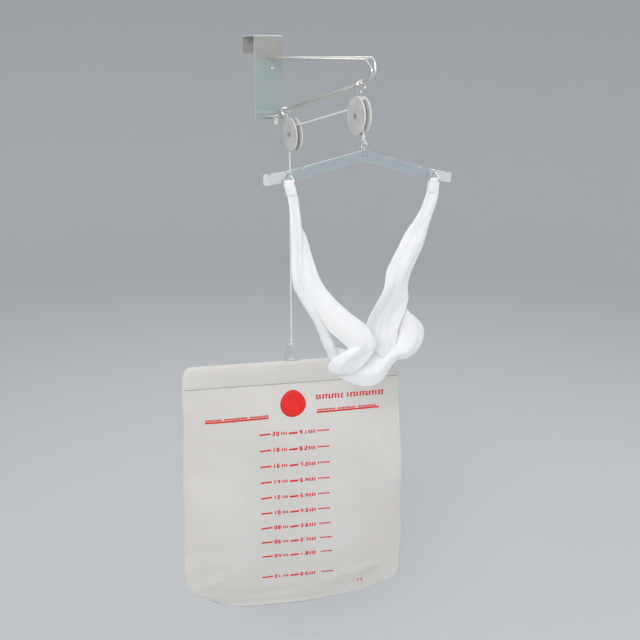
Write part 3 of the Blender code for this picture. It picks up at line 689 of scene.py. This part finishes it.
def through(points, count):
    """A smooth line of count points through the given ones, evenly spaced along it."""
    p = np.array([tuple(q) for q in points])
    p = np.vstack([2 * p[0] - p[1], p, 2 * p[-1] - p[-2]])
    dense = []
    for k in range(1, len(p) - 2):
        a, b, c, d = p[k - 1 : k + 3]
        for t in np.linspace(0, 1, 24, endpoint=False):
            bend = (2 * a - 5 * b + 4 * c - d) * t**2 + (3 * b - a - 3 * c + d) * t**3
            dense.append(0.5 * ((2 * b) + (c - a) * t + bend))
    dense.append(p[-2])
    dense = np.array(dense)
    run = np.concatenate([[0], np.cumsum(np.linalg.norm(np.diff(dense, axis=0), axis=1))])
    even = np.linspace(0, run[-1], count)
    return np.stack([np.interp(even, run, dense[:, k]) for k in range(3)], 1)


def surface(name, grid, look, thickness):
    """A mesh over a grid of points (rows, columns, 3) with the cloth's own map in millimetres."""
    rows, cols = grid.shape[:2]
    o = mesh_piece(name, grid.reshape(-1, 3), grid_faces(rows, cols), look)
    along = np.concatenate([[0], np.cumsum(np.linalg.norm(np.diff(grid[:, cols // 2], axis=0), axis=1))])
    side = np.linalg.norm(np.diff(grid, axis=1), axis=2)
    across = np.concatenate([np.zeros((rows, 1)), np.cumsum(side, axis=1)], 1)
    across -= across[:, -1:] / 2
    flat = o.data.uv_layers.new(name="cloth")
    for loop in o.data.loops:
        i, j = divmod(loop.vertex_index, cols)
        flat.data[loop.index].uv = (across[i, j] / MM, along[i] / MM)
    thick = o.modifiers.new("thickness", "SOLIDIFY")
    thick.thickness = thickness
    thick.offset = 0.0
    soft = o.modifiers.new("soft", "SUBSURF")
    soft.levels = soft.render_levels = 1
    made = smooth(applied(o))
    o.modifiers.clear()
    o.data = made
    return o


def across_normal(grid):
    """The unit normal at each grid point, facing forward."""
    n = np.cross(np.gradient(grid, axis=0), np.gradient(grid, axis=1))
    n /= np.maximum(np.linalg.norm(n, axis=2, keepdims=True), 1e-12)
    n[n[..., 1] > 0] *= -1
    return n


def noise_grid(rows, cols, place):
    """Noise over a grid; place turns the shares down and across it into a spot in the noise."""
    spots = [[Vector(place(i / rows, j / cols)) for j in range(cols)] for i in range(rows)]
    return np.array([[noise.noise(spot) for spot in row] for row in spots])


def band(name, left_pins, right_pins, bow, pleats, seed, rows=110, cols=26):
    """A cloth band between two edges. bow is how far its middle stands forward along the band."""
    left = through([pin(*p) for p in left_pins], rows)
    right = through([pin(*p) for p in right_pins], rows)
    s = np.linspace(0, 1, cols)[None, :, None]
    grid = left[:, None] * (1 - s) + right[:, None] * s
    t = np.linspace(0, 1, rows)
    width = np.linalg.norm(right - left, axis=1)
    lift = np.interp(t, np.linspace(0, 1, len(bow)), bow) * MM
    arch = np.sin(math.pi * s[..., 0]) ** 0.8
    move = lift[:, None] * arch
    fade = np.minimum(1.0, np.minimum(t, 1 - t) * 12)[:, None]
    for k, (share, depth) in enumerate(pleats):
        wander = share + 0.07 * np.sin(t * 7.0 + seed + k * 2.1)
        ridge = np.exp(-(((s[..., 0] - wander[:, None]) * width[:, None] / 0.0042) ** 2))
        move = move + depth * MM * ridge * fade
    wrinkle = noise_grid(rows, cols, lambda v, u: (u * 2.4, v * 9.0, seed))
    crisp = noise_grid(rows, cols, lambda v, u: (u * 5.0 + v * 4.0, v * 22.0, seed + 7))
    move = move + (wrinkle * 1.6 + crisp * 0.5) * MM * fade * np.minimum(1.0, width[:, None] / 0.03)
    grid = grid + across_normal(grid) * move[..., None]
    grid[:, -1] += (grid[:, -2] - grid[:, -1]) * 0.02
    return surface(name, grid, halter_cloth, BAND_T), grid


def hems(name, grid, inset=2):
    """Stitch lines just inside both edges of a band, on its front and back faces."""
    n = across_normal(grid)
    lines = []
    for j in (inset, grid.shape[1] - 1 - inset):
        for side in (1, -1):
            line = grid[3:-3, j] + n[3:-3, j] * side * 0.0008
            lines.append([tuple(q) for q in line])
    return stitches(name, *lines)


# %% The neck band: down the left, under everything, and up behind the right strap
neck_left = [
    (-118, -163, 5.7), (-114, -180, 4), (-112, -197, 2), (-110, -234, 1),
    (-109, -290, -2), (-97, -318, -4), (-74, -356, -8),
    (-64, -382, -12), (-50, -412, -14), (-38, -438, -12), (-10, -456, -8), (16, -463, -6), (38, -458, -8),
    (60, -432, -12), (86, -429, -13), (106, -413, -13), (111, -390, -13), (101, -374, -12),
    (88, -364, -12), (77, -348, -11), (72, -318, -10), (79, -290, -8), (94, -250, -4), (109, -215, 0),
    (120, -190, 3), (124, -171, 4.1),
]
neck_right = [
    (-104, -163, 5.7), (-100, -180, 4), (-97, -197, 2), (-93, -232, 1),
    (-91, -284, -2), (-74, -322, -5), (-57, -362, -12),
    (-51, -382, -20), (-39, -395, -24), (-20, -402, -26), (0, -408, -24), (20, -408, -22), (36, -404, -20),
    (50, -402, -16), (58, -400, -16), (64, -392, -16), (66, -378, -16), (64, -362, -15),
    (58, -340, -13), (57, -318, -11), (64, -290, -8), (80, -250, -4), (97, -215, 0),
    (107, -190, 3), (111, -171, 4.1),
]
neck_pleats = [(0.3, 0.8), (0.62, -0.7)]  # where across the band, and how high in millimetres
neck_bow = [0, 1, 2, 3, 4, 6, 9, 12, 11, 9, 9, 5, 1, 1, 1, 0.5, 0]
neck_band, neck_grid = band("neck_cloth", neck_left, neck_right, neck_bow, neck_pleats, 3.0, rows=200)
neck_hem = hems("neck_stitches", neck_grid)

# %% The chin band's left half, which ends in a lobe turned back under itself
chin_left = [
    (-117, -163, 4.1), (-113, -180, 2), (-110, -197, -1), (-108, -216, -3),
    (-103, -240, -3), (-98, -284, -3), (-80, -322, -1),
    (-57, -362, 3), (-39, -381, 6), (-21, -400, 8), (-36, -406, 10), (-49, -413, 8),
    (-54, -422, 4), (-46, -433, 0), (-30, -438, -7),
]
chin_right = [
    (-103, -163, 4.1), (-98.5, -180, 2), (-96.5, -197, -1), (-95, -214, -3),
    (-87, -230, -2), (-79, -257, -1), (-65, -294, 2),
    (-45, -321, 5), (-20, -345, 8), (8, -368, 10), (19, -383, 12), (26, -401, 12),
    (8, -424, 8), (-14, -438, 2), (-24, -438, -6),
]
chin_pleats = [(0.4, 0.7), (0.75, -0.5)]
chin_bow = [0, 0, 0.5, 1, 2, 3, 5, 7, 8, 7, 4, 2, 0]
chin_cloth, chin_grid = band("chin_cloth_left", chin_left, chin_right, chin_bow, chin_pleats, 11.0)
chin_hem = hems("chin_stitches_left", chin_grid)

# %% The chin band's right half, from the right ring down into the pouch
right_left = [
    (109, -171, 5.7), (101, -195, 4), (92, -212, 3), (69, -243, 3), (48, -277, 4), (40, -294, 4),
    (36, -319, 5), (23, -340, 6), (9, -366, 7), (12, -386, 4), (22, -404, 0), (34, -420, -4),
]
right_right = [
    (126, -171, 5.7), (123, -197, 4), (112.5, -227, 3), (99, -267, 2), (84, -295, 1), (78, -318, 0),
    (79, -340, -2), (72, -362, -4), (64, -380, -6), (62, -398, -8), (58, -416, -10), (50, -428, -12),
]
right_pleats = [(0.35, -0.6), (0.7, 0.8)]
right_bow = [0, 1, 2, 3, 4, 4, 3, -2, -6, -7, -4, 0]
right_cloth, right_grid = band("chin_cloth_right", right_left, right_right, right_bow, right_pleats, 23.0)
right_hem = hems("chin_stitches_right", right_grid)

# %% [markdown]
# ## Webbing folds on the rings
#
# At each end the cloth passes over a wire ring and is sewn back on itself, with a small box of
# stitches. The fold is one strip swept over the ring. Under the ring its two legs draw together onto
# the cloth that they hold.

# %% Folds
FOLD_W = 0.0135
FOLD_T = 0.0013
FOLD_DROP = 0.0205
SEAM_HALF = 0.0045  # half the stitched box's width
FOLD_CLOSE = 0.0022  # how near each leg's foot is to the cloth between them


def fold(side):
    low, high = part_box("halter_strap_" + side)
    x, y, _ = middle("halter_strap_" + side)
    top = high.z
    r = (high.y - low.y) / 2 - 0.0008
    profile = [(y - FOLD_CLOSE, top - FOLD_DROP), (y - FOLD_CLOSE - 0.0004, top - FOLD_DROP * 0.6)]
    for k in range(9):
        a = math.pi - math.pi * k / 8
        profile.append((y + r * math.cos(a), top - r - 0.0008 + r * math.sin(a)))
    profile += [(y + FOLD_CLOSE + 0.0004, top - FOLD_DROP * 0.6), (y + FOLD_CLOSE, top - FOLD_DROP)]
    line = through([(x, py, pz) for py, pz in profile], 40)
    lean = -0.12 if side == "right" else 0.30
    cols = 10
    grid = np.zeros((len(line), cols, 3))
    for j in range(cols):
        s = j / (cols - 1) - 0.5
        grid[:, j] = line
        grid[:, j, 0] += s * FOLD_W + (line[:, 2] - top) * -lean
        grid[:, j, 1] += np.where(line[:, 1] < y, -1, 1) * 0.0003 * math.cos(s * math.pi)
    o = surface("fold_" + side, grid, halter_cloth, FOLD_T)
    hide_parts("halter_strap_" + side)
    front_y = y - FOLD_CLOSE - 0.0012
    high_seam, low_seam = top - 0.0110, top - 0.0180
    box = []
    for z in (high_seam, low_seam):
        shift = x + (top - z) * lean
        box.append([(shift - SEAM_HALF, front_y, z), (shift + SEAM_HALF, front_y, z)])
    for dx in (-SEAM_HALF, SEAM_HALF):
        high, low = ((x + dx + (top - z) * lean, front_y, z) for z in (high_seam, low_seam))
        box.append([high, low])
    sewn = stitches("fold_stitches_" + side, *box, pitch=0.0026, length=0.0019)
    return o, sewn


halter_pieces = [neck_band, neck_hem, chin_cloth, chin_hem, right_cloth, right_hem]
for side in ("left", "right"):
    halter_pieces += fold(side)
for piece in halter_pieces:
    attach(piece, "halter")
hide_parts("neck_band")
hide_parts("chin_band")

# %% [markdown]
# ## Vinyl and ink
#
# The vinyl is soft and matt, a warm pale grey, with a very fine embossed grain and a broad, uneven
# tone from handling. Light gets a little way into it. The ink is screen-printed, so it is a thin skin
# on the face and follows every crease.

# %% Vinyl and ink finishes
vinyl, tree, shader = new_finish(
    "soft vinyl", IOR=1.45, Subsurface_Weight=0.08, Coat_Weight=0.06, Coat_Roughness=0.4
)
tone = use(tree, marks, "Cloud", scale=7.0)
colour = blend_colour(tree, ramp(tree, tone, 0.3, 0.7), (0.635, 0.618, 0.588), (0.690, 0.675, 0.650))
soil = use(tree, marks, "Mask", scale=24.0, cover=0.2)
colour = tinted(tree, colour, soil, 0.07, (0.42, 0.39, 0.35))
grain = grain_of(tree, 750.0)
dress(tree, shader, colour, ramp(tree, grain, 0.3, 0.7, 0.62, 0.46))
bumped(tree, shader, grain, 0.00022, 0.5)

ink, tree, shader = new_finish("red ink", IOR=1.45)
worn = use(tree, marks, "Cloud", scale=120.0)
colour = blend_colour(tree, ramp(tree, worn, 0.3, 0.75), (0.72, 0.010, 0.008), (0.84, 0.018, 0.014))
dress(tree, shader, colour, ramp(tree, worn, 0.3, 0.7, 0.42, 0.6))
bumped(tree, shader, grain_of(tree, 750.0), 0.00015, 0.4)

# %% [markdown]
# ## Weight bag
#
# The bag is a flat vinyl pouch with a welded edge all round. A steel rod runs through the hem at its
# top. Water fills it a little, so the faces belly out and the free edges stay thin, with a few long
# soft creases where the vinyl buckled. It is one shell of two faces over the same outline, so the
# prints can be laid on it by asking the same function where the face is.

# %% Bag outline and faces
bag_low, bag_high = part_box("weight_bag")
BAG_AT = Vector((0.0, bag_x_y[1], 0.0))
bag_turn = Matrix.Rotation(YAW, 3, "Z")
bag_across = bag_turn @ Vector((1, 0, 0))
bag_out = bag_turn @ Vector((0, -1, 0))
BAG_TOP = bag_high.z
BAG_LOW = bag_low.z
BAG_H = BAG_TOP - BAG_LOW
BAG_HALF = (bag_high.x - bag_low.x) / 2 / math.cos(YAW)
HEM_DEEP = 0.040  # from the top edge to the weld under the rod
BELLY = 0.019
WELD_HALF = 0.0011  # half the thickness where the two faces are welded
HANG_SLOPE = 0.026  # the bag hangs a little crooked: how far it rises for each step to the right

# each crease: start (across, down), end (across, down), depth and half width, in millimetres
CREASES = [
    ((-176, 330, -60, 292), 1.5, 16), ((-186, 395, -120, 372), -1.6, 12), ((-170, 420, -128, 396), 1.8, 7),
    ((-120, 436, 30, 430), -1.3, 8), ((20, 432, 178, 388), 1.8, 9), ((60, 448, 170, 408), -1.4, 10),
    ((-150, 230, -95, 300), 1.0, 18), ((120, 60, 168, 210), -0.9, 22), ((90, 250, 175, 240), 0.8, 20),
    ((-30, 50, -36, 410), -0.9, 12), ((66, 60, 72, 400), 0.8, 14), ((-5, 24, 8, 30), 0.9, 3),
    ((-178, 60, -150, 250), -0.8, 15), ((-60, 300, 60, 320), 0.6, 30),
]


def bag_edge(t):
    """Half width at t, 0 at the top and 1 at the bottom, as a share of the fullest."""
    wide = 0.946 + 0.054 * math.sin(min(1.0, t * 1.25) * math.pi / 2) + 0.016 * t * t
    if t < 0.035:
        wide -= 0.060 * (1.0 - math.sqrt(max(0.0, 1.0 - (1.0 - t / 0.035) ** 2)))
    if t > 0.90:
        wide -= 0.215 * (1.0 - math.sqrt(max(0.0, 1.0 - ((t - 0.90) / 0.10) ** 2)))
    return wide + 0.005 * math.sin(t * 19.0)


def bag_bottom(s):
    """How far up the lower edge is at s, -1 at the left and 1 at the right."""
    right = 0.052 * max(0.0, s) ** 1.9
    left = 0.070 * max(0.0, -s) ** 5
    return BAG_H * (0.010 + right + left)


def crease_height(x, d):
    total = 0.0
    for (x0, d0, x1, d1), depth, wide in CREASES:
        ax, ad = x1 - x0, d1 - d0
        span = math.hypot(ax, ad)
        u = max(0.0, min(1.0, ((x - x0) * ax + (d - d0) * ad) / span**2))
        off = math.hypot(x - x0 - u * ax, d - d0 - u * ad)
        ends = math.sin(math.pi * (0.08 + 0.84 * u))
        total += depth * ends * math.exp(-((off / wide) ** 2))
    return total


def bag_half_thick(s, t):
    """Half the thickness: a round hem over the rod, a flat weld, then the belly."""
    d = t * BAG_H
    rim = max(0.0, 1.0 - abs(s) ** 5)
    hem = 0.0
    if d < HEM_DEEP:
        k = d / HEM_DEEP
        hem = 0.0024 * math.sin(math.pi * min(1.0, k / 0.96) ** 0.6) ** 0.6 if k < 0.96 else 0.0
        hem *= rim**0.4
    u = max(0.0, (d - HEM_DEEP) / (BAG_H - HEM_DEEP - 0.010))
    full = math.sin(math.pi * min(1.0, u) ** 1.2) ** 0.75 if 0.0 < u < 1.0 else 0.0
    return WELD_HALF + max(hem, BELLY * full * rim**0.9)


def bag_point(s, t, face):
    """A point of the bag's skin; face is 1 on the printed side and -1 on the back."""
    x = s * BAG_HALF * bag_edge(t) * (1.0 + 0.022 * max(0.0, s) ** 2 * math.sin(math.pi * t))
    lift = bag_bottom(s) * t**6
    z = BAG_TOP - t * BAG_H + lift
    out = bag_half_thick(s, t) * face
    d = (BAG_TOP - z) / MM
    inner = min(1.0, (1 - abs(s)) * 14) * min(1.0, max(0.0, (d - 6) / 12)) * min(1.0, max(0.0, (1 - t) * 25))
    fold_up = crease_height(x / MM, d) * inner
    wrinkle = noise.noise(Vector((x * 11, z * 9, face * 3.0))) * 1.1 * inner
    small = noise.noise(Vector((x * 34, z * 22, face * 5.0 + 2))) * 0.16 * inner
    ripple = noise.noise(Vector((x * 9, z * 22, 9.0))) * 2.2 * abs(s) ** 3
    out += (fold_up + wrinkle + small) * MM * face + ripple * MM
    return BAG_AT + bag_across * x + bag_out * out + Vector((0, 0, z + HANG_SLOPE * x))


# %% Bag shell
COLS, ROWS = 97, 121  # points across and down each face
steps = [j / (COLS - 1) - 0.5 for j in range(COLS)]
steps = [math.sin(s * math.pi) * 0.35 + s * 1.3 for s in steps]  # closer together at the sides
steps = [s / steps[-1] for s in steps]
verts, faces, flat_map = [], [], []
for face in (1, -1):
    quads = grid_faces(ROWS, COLS, len(verts))
    faces += quads if face == 1 else [quad[::-1] for quad in quads]
    for i in range(ROWS):
        t = i / (ROWS - 1)
        verts += [bag_point(s, t, face) for s in steps]
        flat_map += [(s * BAG_HALF / MM, t * BAG_H / MM) for s in steps]
half = ROWS * COLS
rim = list(range(COLS))
rim += [i * COLS + COLS - 1 for i in range(1, ROWS)]
rim += [(ROWS - 1) * COLS + j for j in range(COLS - 2, -1, -1)]
rim += [i * COLS for i in range(ROWS - 2, 0, -1)]
faces += [(a, b, b + half, a + half) for a, b in zip(rim, rim[1:] + rim[:1])]
bag_skin = mesh_piece("bag_skin", verts, faces, vinyl)
flat = bag_skin.data.uv_layers.new(name="cloth")
for loop in bag_skin.data.loops:
    flat.data[loop.index].uv = flat_map[loop.vertex_index]
smooth(bag_skin.data)

# %% [markdown]
# ## Prints
#
# The printed side has ten filling rows, each a dash, a weight in two units and a dash, under a round
# drop mark and two underlined lines of plain ticks. Numbers are drawn with strokes on a small grid,
# like a dial's. Every mark is cut into short pieces, so it can bend with the vinyl.

# %% Where a print point lies on the vinyl
INK_PROUD = 0.00016
INK_T = 0.00012


def on_face(x, d):
    """Skin point for x millimetres across and d down from the top edge, just proud of the vinyl."""
    t = d * MM / BAG_H
    for _ in range(4):
        s = x * MM / (BAG_HALF * bag_edge(t))
        lift = bag_bottom(s) * t**6
        t = (d * MM + lift) / BAG_H
    return bag_point(s, t, 1) + bag_out * INK_PROUD


ink_verts, ink_faces = [], []


def patch(corner, along, up, steps, bands=1):
    """A printed rectangle: corner, then two edge vectors in millimetres, cut along its length."""
    first = len(ink_verts)
    for i in range(steps + 1):
        for j in range(bands + 1):
            x = corner[0] + along[0] * i / steps + up[0] * j / bands
            d = corner[1] + along[1] * i / steps + up[1] * j / bands
            ink_verts.append(on_face(x, d))
    for i in range(steps):
        for j in range(bands):
            a = first + i * (bands + 1) + j
            ink_faces.append((a, a + 1, a + bands + 2, a + bands + 1))


def stroke(x0, d0, x1, d1, wide):
    """A printed line between two places, wide millimetres thick."""
    span = math.hypot(x1 - x0, d1 - d0)
    nx, nd = -(d1 - d0) / span * wide / 2, (x1 - x0) / span * wide / 2
    patch((x0 + nx, d0 + nd), (x1 - x0, d1 - d0), (-2 * nx, -2 * nd), max(1, round(span / 4)))


# a digit's strokes on a grid two wide and four high, measured down from its top left
DIGIT = {
    "0": "0020 2024 2404 0400",
    "1": "1014",
    "2": "0020 2022 2202 0204 0424",
    "3": "0020 2024 2404 0222",
    "4": "0002 0222 2024",
    "5": "2000 0002 0222 2224 2404",
    "6": "2000 0004 0424 2422 2202",
    "7": "0020 2024",
    "8": "0020 2024 2404 0400 0222",
    "9": "2220 2000 0002 0222 2224",
}


def dashes(count, step, x, d, along, up, wide):
    """A row of count strokes, step apart; each runs along to the right and up."""
    for k in range(count):
        stroke(x + k * step, d, x + k * step + along, d - up, wide)


def number(x, d, words, size=1.5, wide=1.75):
    """Digits with their lower left corner at (x, d); returns where the next one starts."""
    for letter in words:
        if letter == ".":
            patch((x, d - wide), (wide, 0), (0, wide), 1)
            x += 2.6
            continue
        for pair in DIGIT[letter].split():
            x0, d0, x1, d1 = (int(c) for c in pair)
            stroke(x + x0 * size, d - (4 - d0) * size, x + x1 * size, d - (4 - d1) * size, wide)
        x += 2 * size + 3.3
    return x


# %% Filling rows
ROW_ONE = 126.5  # the top row, down from the bag's top edge
ROW_STEP = 28.8
ROW_LEFT, ROW_RIGHT = -57.0, 62.0
POUND = 0.4536
rows = [(20 - 2 * k, ROW_ONE + ROW_STEP * k) for k in range(9)]
rows.append((1, ROW_ONE + ROW_STEP * 8 + 43.5))
for pounds, d in rows:
    reach = ROW_RIGHT + 0.055 * max(0.0, d - 260.0)
    stroke(ROW_LEFT, d, ROW_LEFT + 19, d - 0.4, 2.7)
    number(ROW_LEFT + 23, d + 2.9, str(pounds).rjust(2, "0"))
    dashes(3, 3.6, ROW_LEFT + 38, d + 2.3, 0, 4.8, 1.9)
    stroke(ROW_LEFT + 50, d + 0.8, ROW_LEFT + 65, d + 0.2, 3.2)
    number(ROW_LEFT + 69, d + 3.0, "%.1f" % (pounds * POUND))
    dashes(3, 4.2, ROW_LEFT + 85, d + 3.2, 0, 6.2, 2.2)
    dashes(5, 4.2, reach - 20, d - 0.6, 3.4, 0, 2.4)

# %% Ticks, underlines and the small mark
HEAD_D = 71.0  # the heading's lower edge, down from the bag's top
for k in range(22):
    if k == 9:  # the gap between two words
        continue
    x = 42 + k * 5.35
    stroke(x, HEAD_D, x, HEAD_D - 7.6, 2.5)
    if k % 3 != 1:
        stroke(x, HEAD_D - 6.8, x + 3.2, HEAD_D - 6.8, 1.7)
    if k % 4 == 0:
        stroke(x, HEAD_D - 0.8, x + 3.0, HEAD_D - 0.8, 1.6)
stroke(41, HEAD_D + 22.5, 148.5, HEAD_D + 22.0, 2.8)
for k in range(27):
    if k % 9 != 8:
        stroke(43 + k * 3.9, HEAD_D + 18.6, 45.6 + k * 3.9, HEAD_D + 18.3, 3.0)
stroke(-148, HEAD_D + 28.6, -41, HEAD_D + 26.6, 3.0)
for k in range(27):
    if k % 11 != 7:
        stroke(-147 + k * 3.95, HEAD_D + 24.9 - k * 0.075, -144.1 + k * 3.95, HEAD_D + 24.7 - k * 0.075, 3.0)
dashes(2, 6.5, 117.0, 431.0, 0, 5.5, 2.0)

# %% The drop
DROP_AT = (1.0, 76.0)
DROP_R = 21.8
first = len(ink_verts)
ink_verts.append(on_face(*DROP_AT))
SPOKES, RINGS = 48, 5
for k in range(1, RINGS + 1):
    for j in range(SPOKES):
        a = math.tau * j / SPOKES
        peak = 1.0 + 0.15 * max(0.0, math.sin(a)) ** 4 - 0.04 * math.sin(a) + 0.012 * math.cos(3 * a)
        r = DROP_R * peak * k / RINGS
        ink_verts.append(on_face(DROP_AT[0] + r * math.cos(a), DROP_AT[1] - r * math.sin(a)))
for j in range(SPOKES):
    n = (j + 1) % SPOKES
    ink_faces.append((first, first + 1 + j, first + 1 + n))
    for k in range(RINGS - 1):
        a = first + 1 + k * SPOKES
        ink_faces.append((a + j, a + SPOKES + j, a + SPOKES + n, a + n))
bag_prints = mesh_piece("bag_prints", ink_verts, ink_faces, ink)
bag_prints.data.update()
for f in smooth(bag_prints.data).polygons:
    if f.normal.dot(bag_out) < 0:
        f.flip()
thin = bag_prints.modifiers.new("ink layer", "SOLIDIFY")
thin.thickness = INK_T
thin.offset = 1.0
made = applied(bag_prints)
bag_prints.modifiers.clear()
bag_prints.data = made

# %% [markdown]
# ## Clip
#
# The bag hangs on a flat stamped clip shaped like a letter A: its narrow top takes the cord's loop,
# its window is cut between the legs, and its foot goes into the hem and round the rod. A filled curve
# with two holes gives the flat shape, and extrude and bevel give the pressed thickness.

# %% Clip
CLIP_T = 0.0030
CLIP_EDGE = 0.0005  # how far the pressed edge is rounded
EYE_R = 0.0019


def rounded_corners(points, radius, steps=4):
    """A closed outline with its corners rounded."""
    out = []
    count = len(points)
    for k in range(count):
        p, a, b = Vector(points[k]), Vector(points[k - 1]), Vector(points[(k + 1) % count])
        r = min(radius, (a - p).length * 0.45, (b - p).length * 0.45)
        start, end = p + (a - p).normalized() * r, p + (b - p).normalized() * r
        for i in range(steps + 1):
            u = i / steps
            out.append(start * (1 - u) ** 2 + p * 2 * u * (1 - u) + end * u**2)
    return out


def upright(half_widths_and_heights):
    """A closed outline, the same on both sides, from half widths in millimetres and heights."""
    right = [(x * MM, z) for x, z in half_widths_and_heights]
    return right + [(-x, z) for x, z in reversed(right)]


ring_low, ring_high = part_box("bag_ring")
top, foot = ring_high.z, ring_low.z
outer = upright([(5.0, top), (11.6, BAG_TOP + 0.006), (11.8, foot)])
window = upright([(3.2, BAG_TOP + 0.0135), (4.4, BAG_TOP + 0.0020)])
turns = [math.tau * k / 16 for k in range(16)]
eye = [(EYE_R * math.cos(a), top - 0.0044 + EYE_R * math.sin(a)) for a in turns]
outlines = (rounded_corners(outer, 0.0030), rounded_corners(window, 0.0010), eye)
flat_clip = route("flat_clip", *([(*p, 0.0) for p in line] for line in outlines), closed=(0, 1, 2))
shape = flat_clip.data
shape.dimensions = "2D"
shape.fill_mode = "BOTH"
shape.bevel_depth = CLIP_EDGE
shape.bevel_resolution = 2
shape.extrude = CLIP_T / 2 - CLIP_EDGE
bag_clip = cast("bag_clip", flat_clip, clip_metal)
stand = Matrix((bag_across, Vector((0, 0, 1)), bag_out)).transposed().to_4x4()
bag_clip.data.transform(Matrix.Translation(BAG_AT) @ stand)
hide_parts("bag_ring")
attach(bag_clip, "bag")

# %% Weld line under the hem
pressed_vinyl, tree, shader = new_finish("pressed vinyl", IOR=1.45)
colour = blend_colour(tree, grain_of(tree, 600.0), (0.30, 0.29, 0.27), (0.44, 0.42, 0.40))
tree.links.new(colour, shader.inputs["Base Color"])
shader.inputs["Roughness"].default_value = 0.5
WELD_STEPS = 120
weld = []
for k in range(WELD_STEPS + 1):
    s = -0.985 + 1.97 * k / WELD_STEPS
    weld.append(bag_point(s, HEM_DEEP / BAG_H, 1) + bag_out * 0.0002)
bead = route("weld_line", weld)
bead.data.bevel_depth = 0.0006
bead.data.bevel_resolution = 2
bead.data.use_fill_caps = True
bag_weld = cast("bag_weld", bead, pressed_vinyl)
smooth(bag_weld.data)
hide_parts("weight_bag")
for piece in (bag_skin, bag_prints, bag_weld):
    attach(piece, "bag")

# %% [markdown]
# ## Studio
#
# A pale sheet lies under the set and curves up into a round wall far behind it, as a studio sweep
# does, so no edge of the floor shows from any side. The light is a soft key from the left, a
# broad weak fill and a light from behind for the rims.

# %% Sweep
FLOOR_Z = cad_box[0][2] - 0.22
FLAT_R, CURVE_R, WALL_H, SIDES = 3.6, 1.6, 3.4, 64
profile = [(0.0, 0.0), (FLAT_R, 0.0)]
profile += [
    (FLAT_R + CURVE_R * math.sin(a), CURVE_R * (1 - math.cos(a)))
    for a in (math.pi / 2 * k / 10 for k in range(1, 11))
]
profile.append((FLAT_R + CURVE_R, CURVE_R + WALL_H))
sweep_verts, sweep_faces = [], []
for r, h in profile:
    for k in range(SIDES):
        a = math.tau * k / SIDES
        sweep_verts.append((r * math.cos(a), r * math.sin(a), FLOOR_Z + h))
for i in range(len(profile) - 1):
    for k in range(SIDES):
        n = (k + 1) % SIDES
        sweep_faces.append((i * SIDES + k, i * SIDES + n, (i + 1) * SIDES + n, (i + 1) * SIDES + k))
pale, tree, shader = new_finish("pale sweep", Base_Color=(0.56, 0.57, 0.58, 1), Roughness=0.95)
sweep = mesh_piece("sweep", sweep_verts, sweep_faces, pale)
smooth(sweep.data)

# %% Light
world = bpy.data.worlds.new("studio")
scene.world = world
world.use_nodes = True
sky = world.node_tree.nodes["Background"].inputs
sky["Color"].default_value = (0.90, 0.92, 0.95, 1)
sky["Strength"].default_value = 1.0


def soft_light(name, place, aim, size, power, tint):
    lamp = bpy.data.lights.new(name, "AREA")
    lamp.size = size
    lamp.energy = power
    lamp.color = tint
    o = placed(name, lamp)
    o.location = place
    o.rotation_euler = (Vector(aim) - Vector(place)).to_track_quat("-Z", "Y").to_euler()


HEART = (0.0, -0.25, -0.45)
soft_light("key", (-1.7, -2.2, 0.7), HEART, 1.5, 46.0, (1.0, 0.985, 0.96))
soft_light("fill", (2.0, -1.8, 0.1), HEART, 1.8, 14.0, (0.93, 0.96, 1.0))
soft_light("rim", (0.8, 1.6, 1.2), HEART, 1.2, 12.0, (1.0, 1.0, 1.0))

# %% Sizes, then the last line
print("CAD box:", [[round(v, 4) for v in c] for c in cad_box])
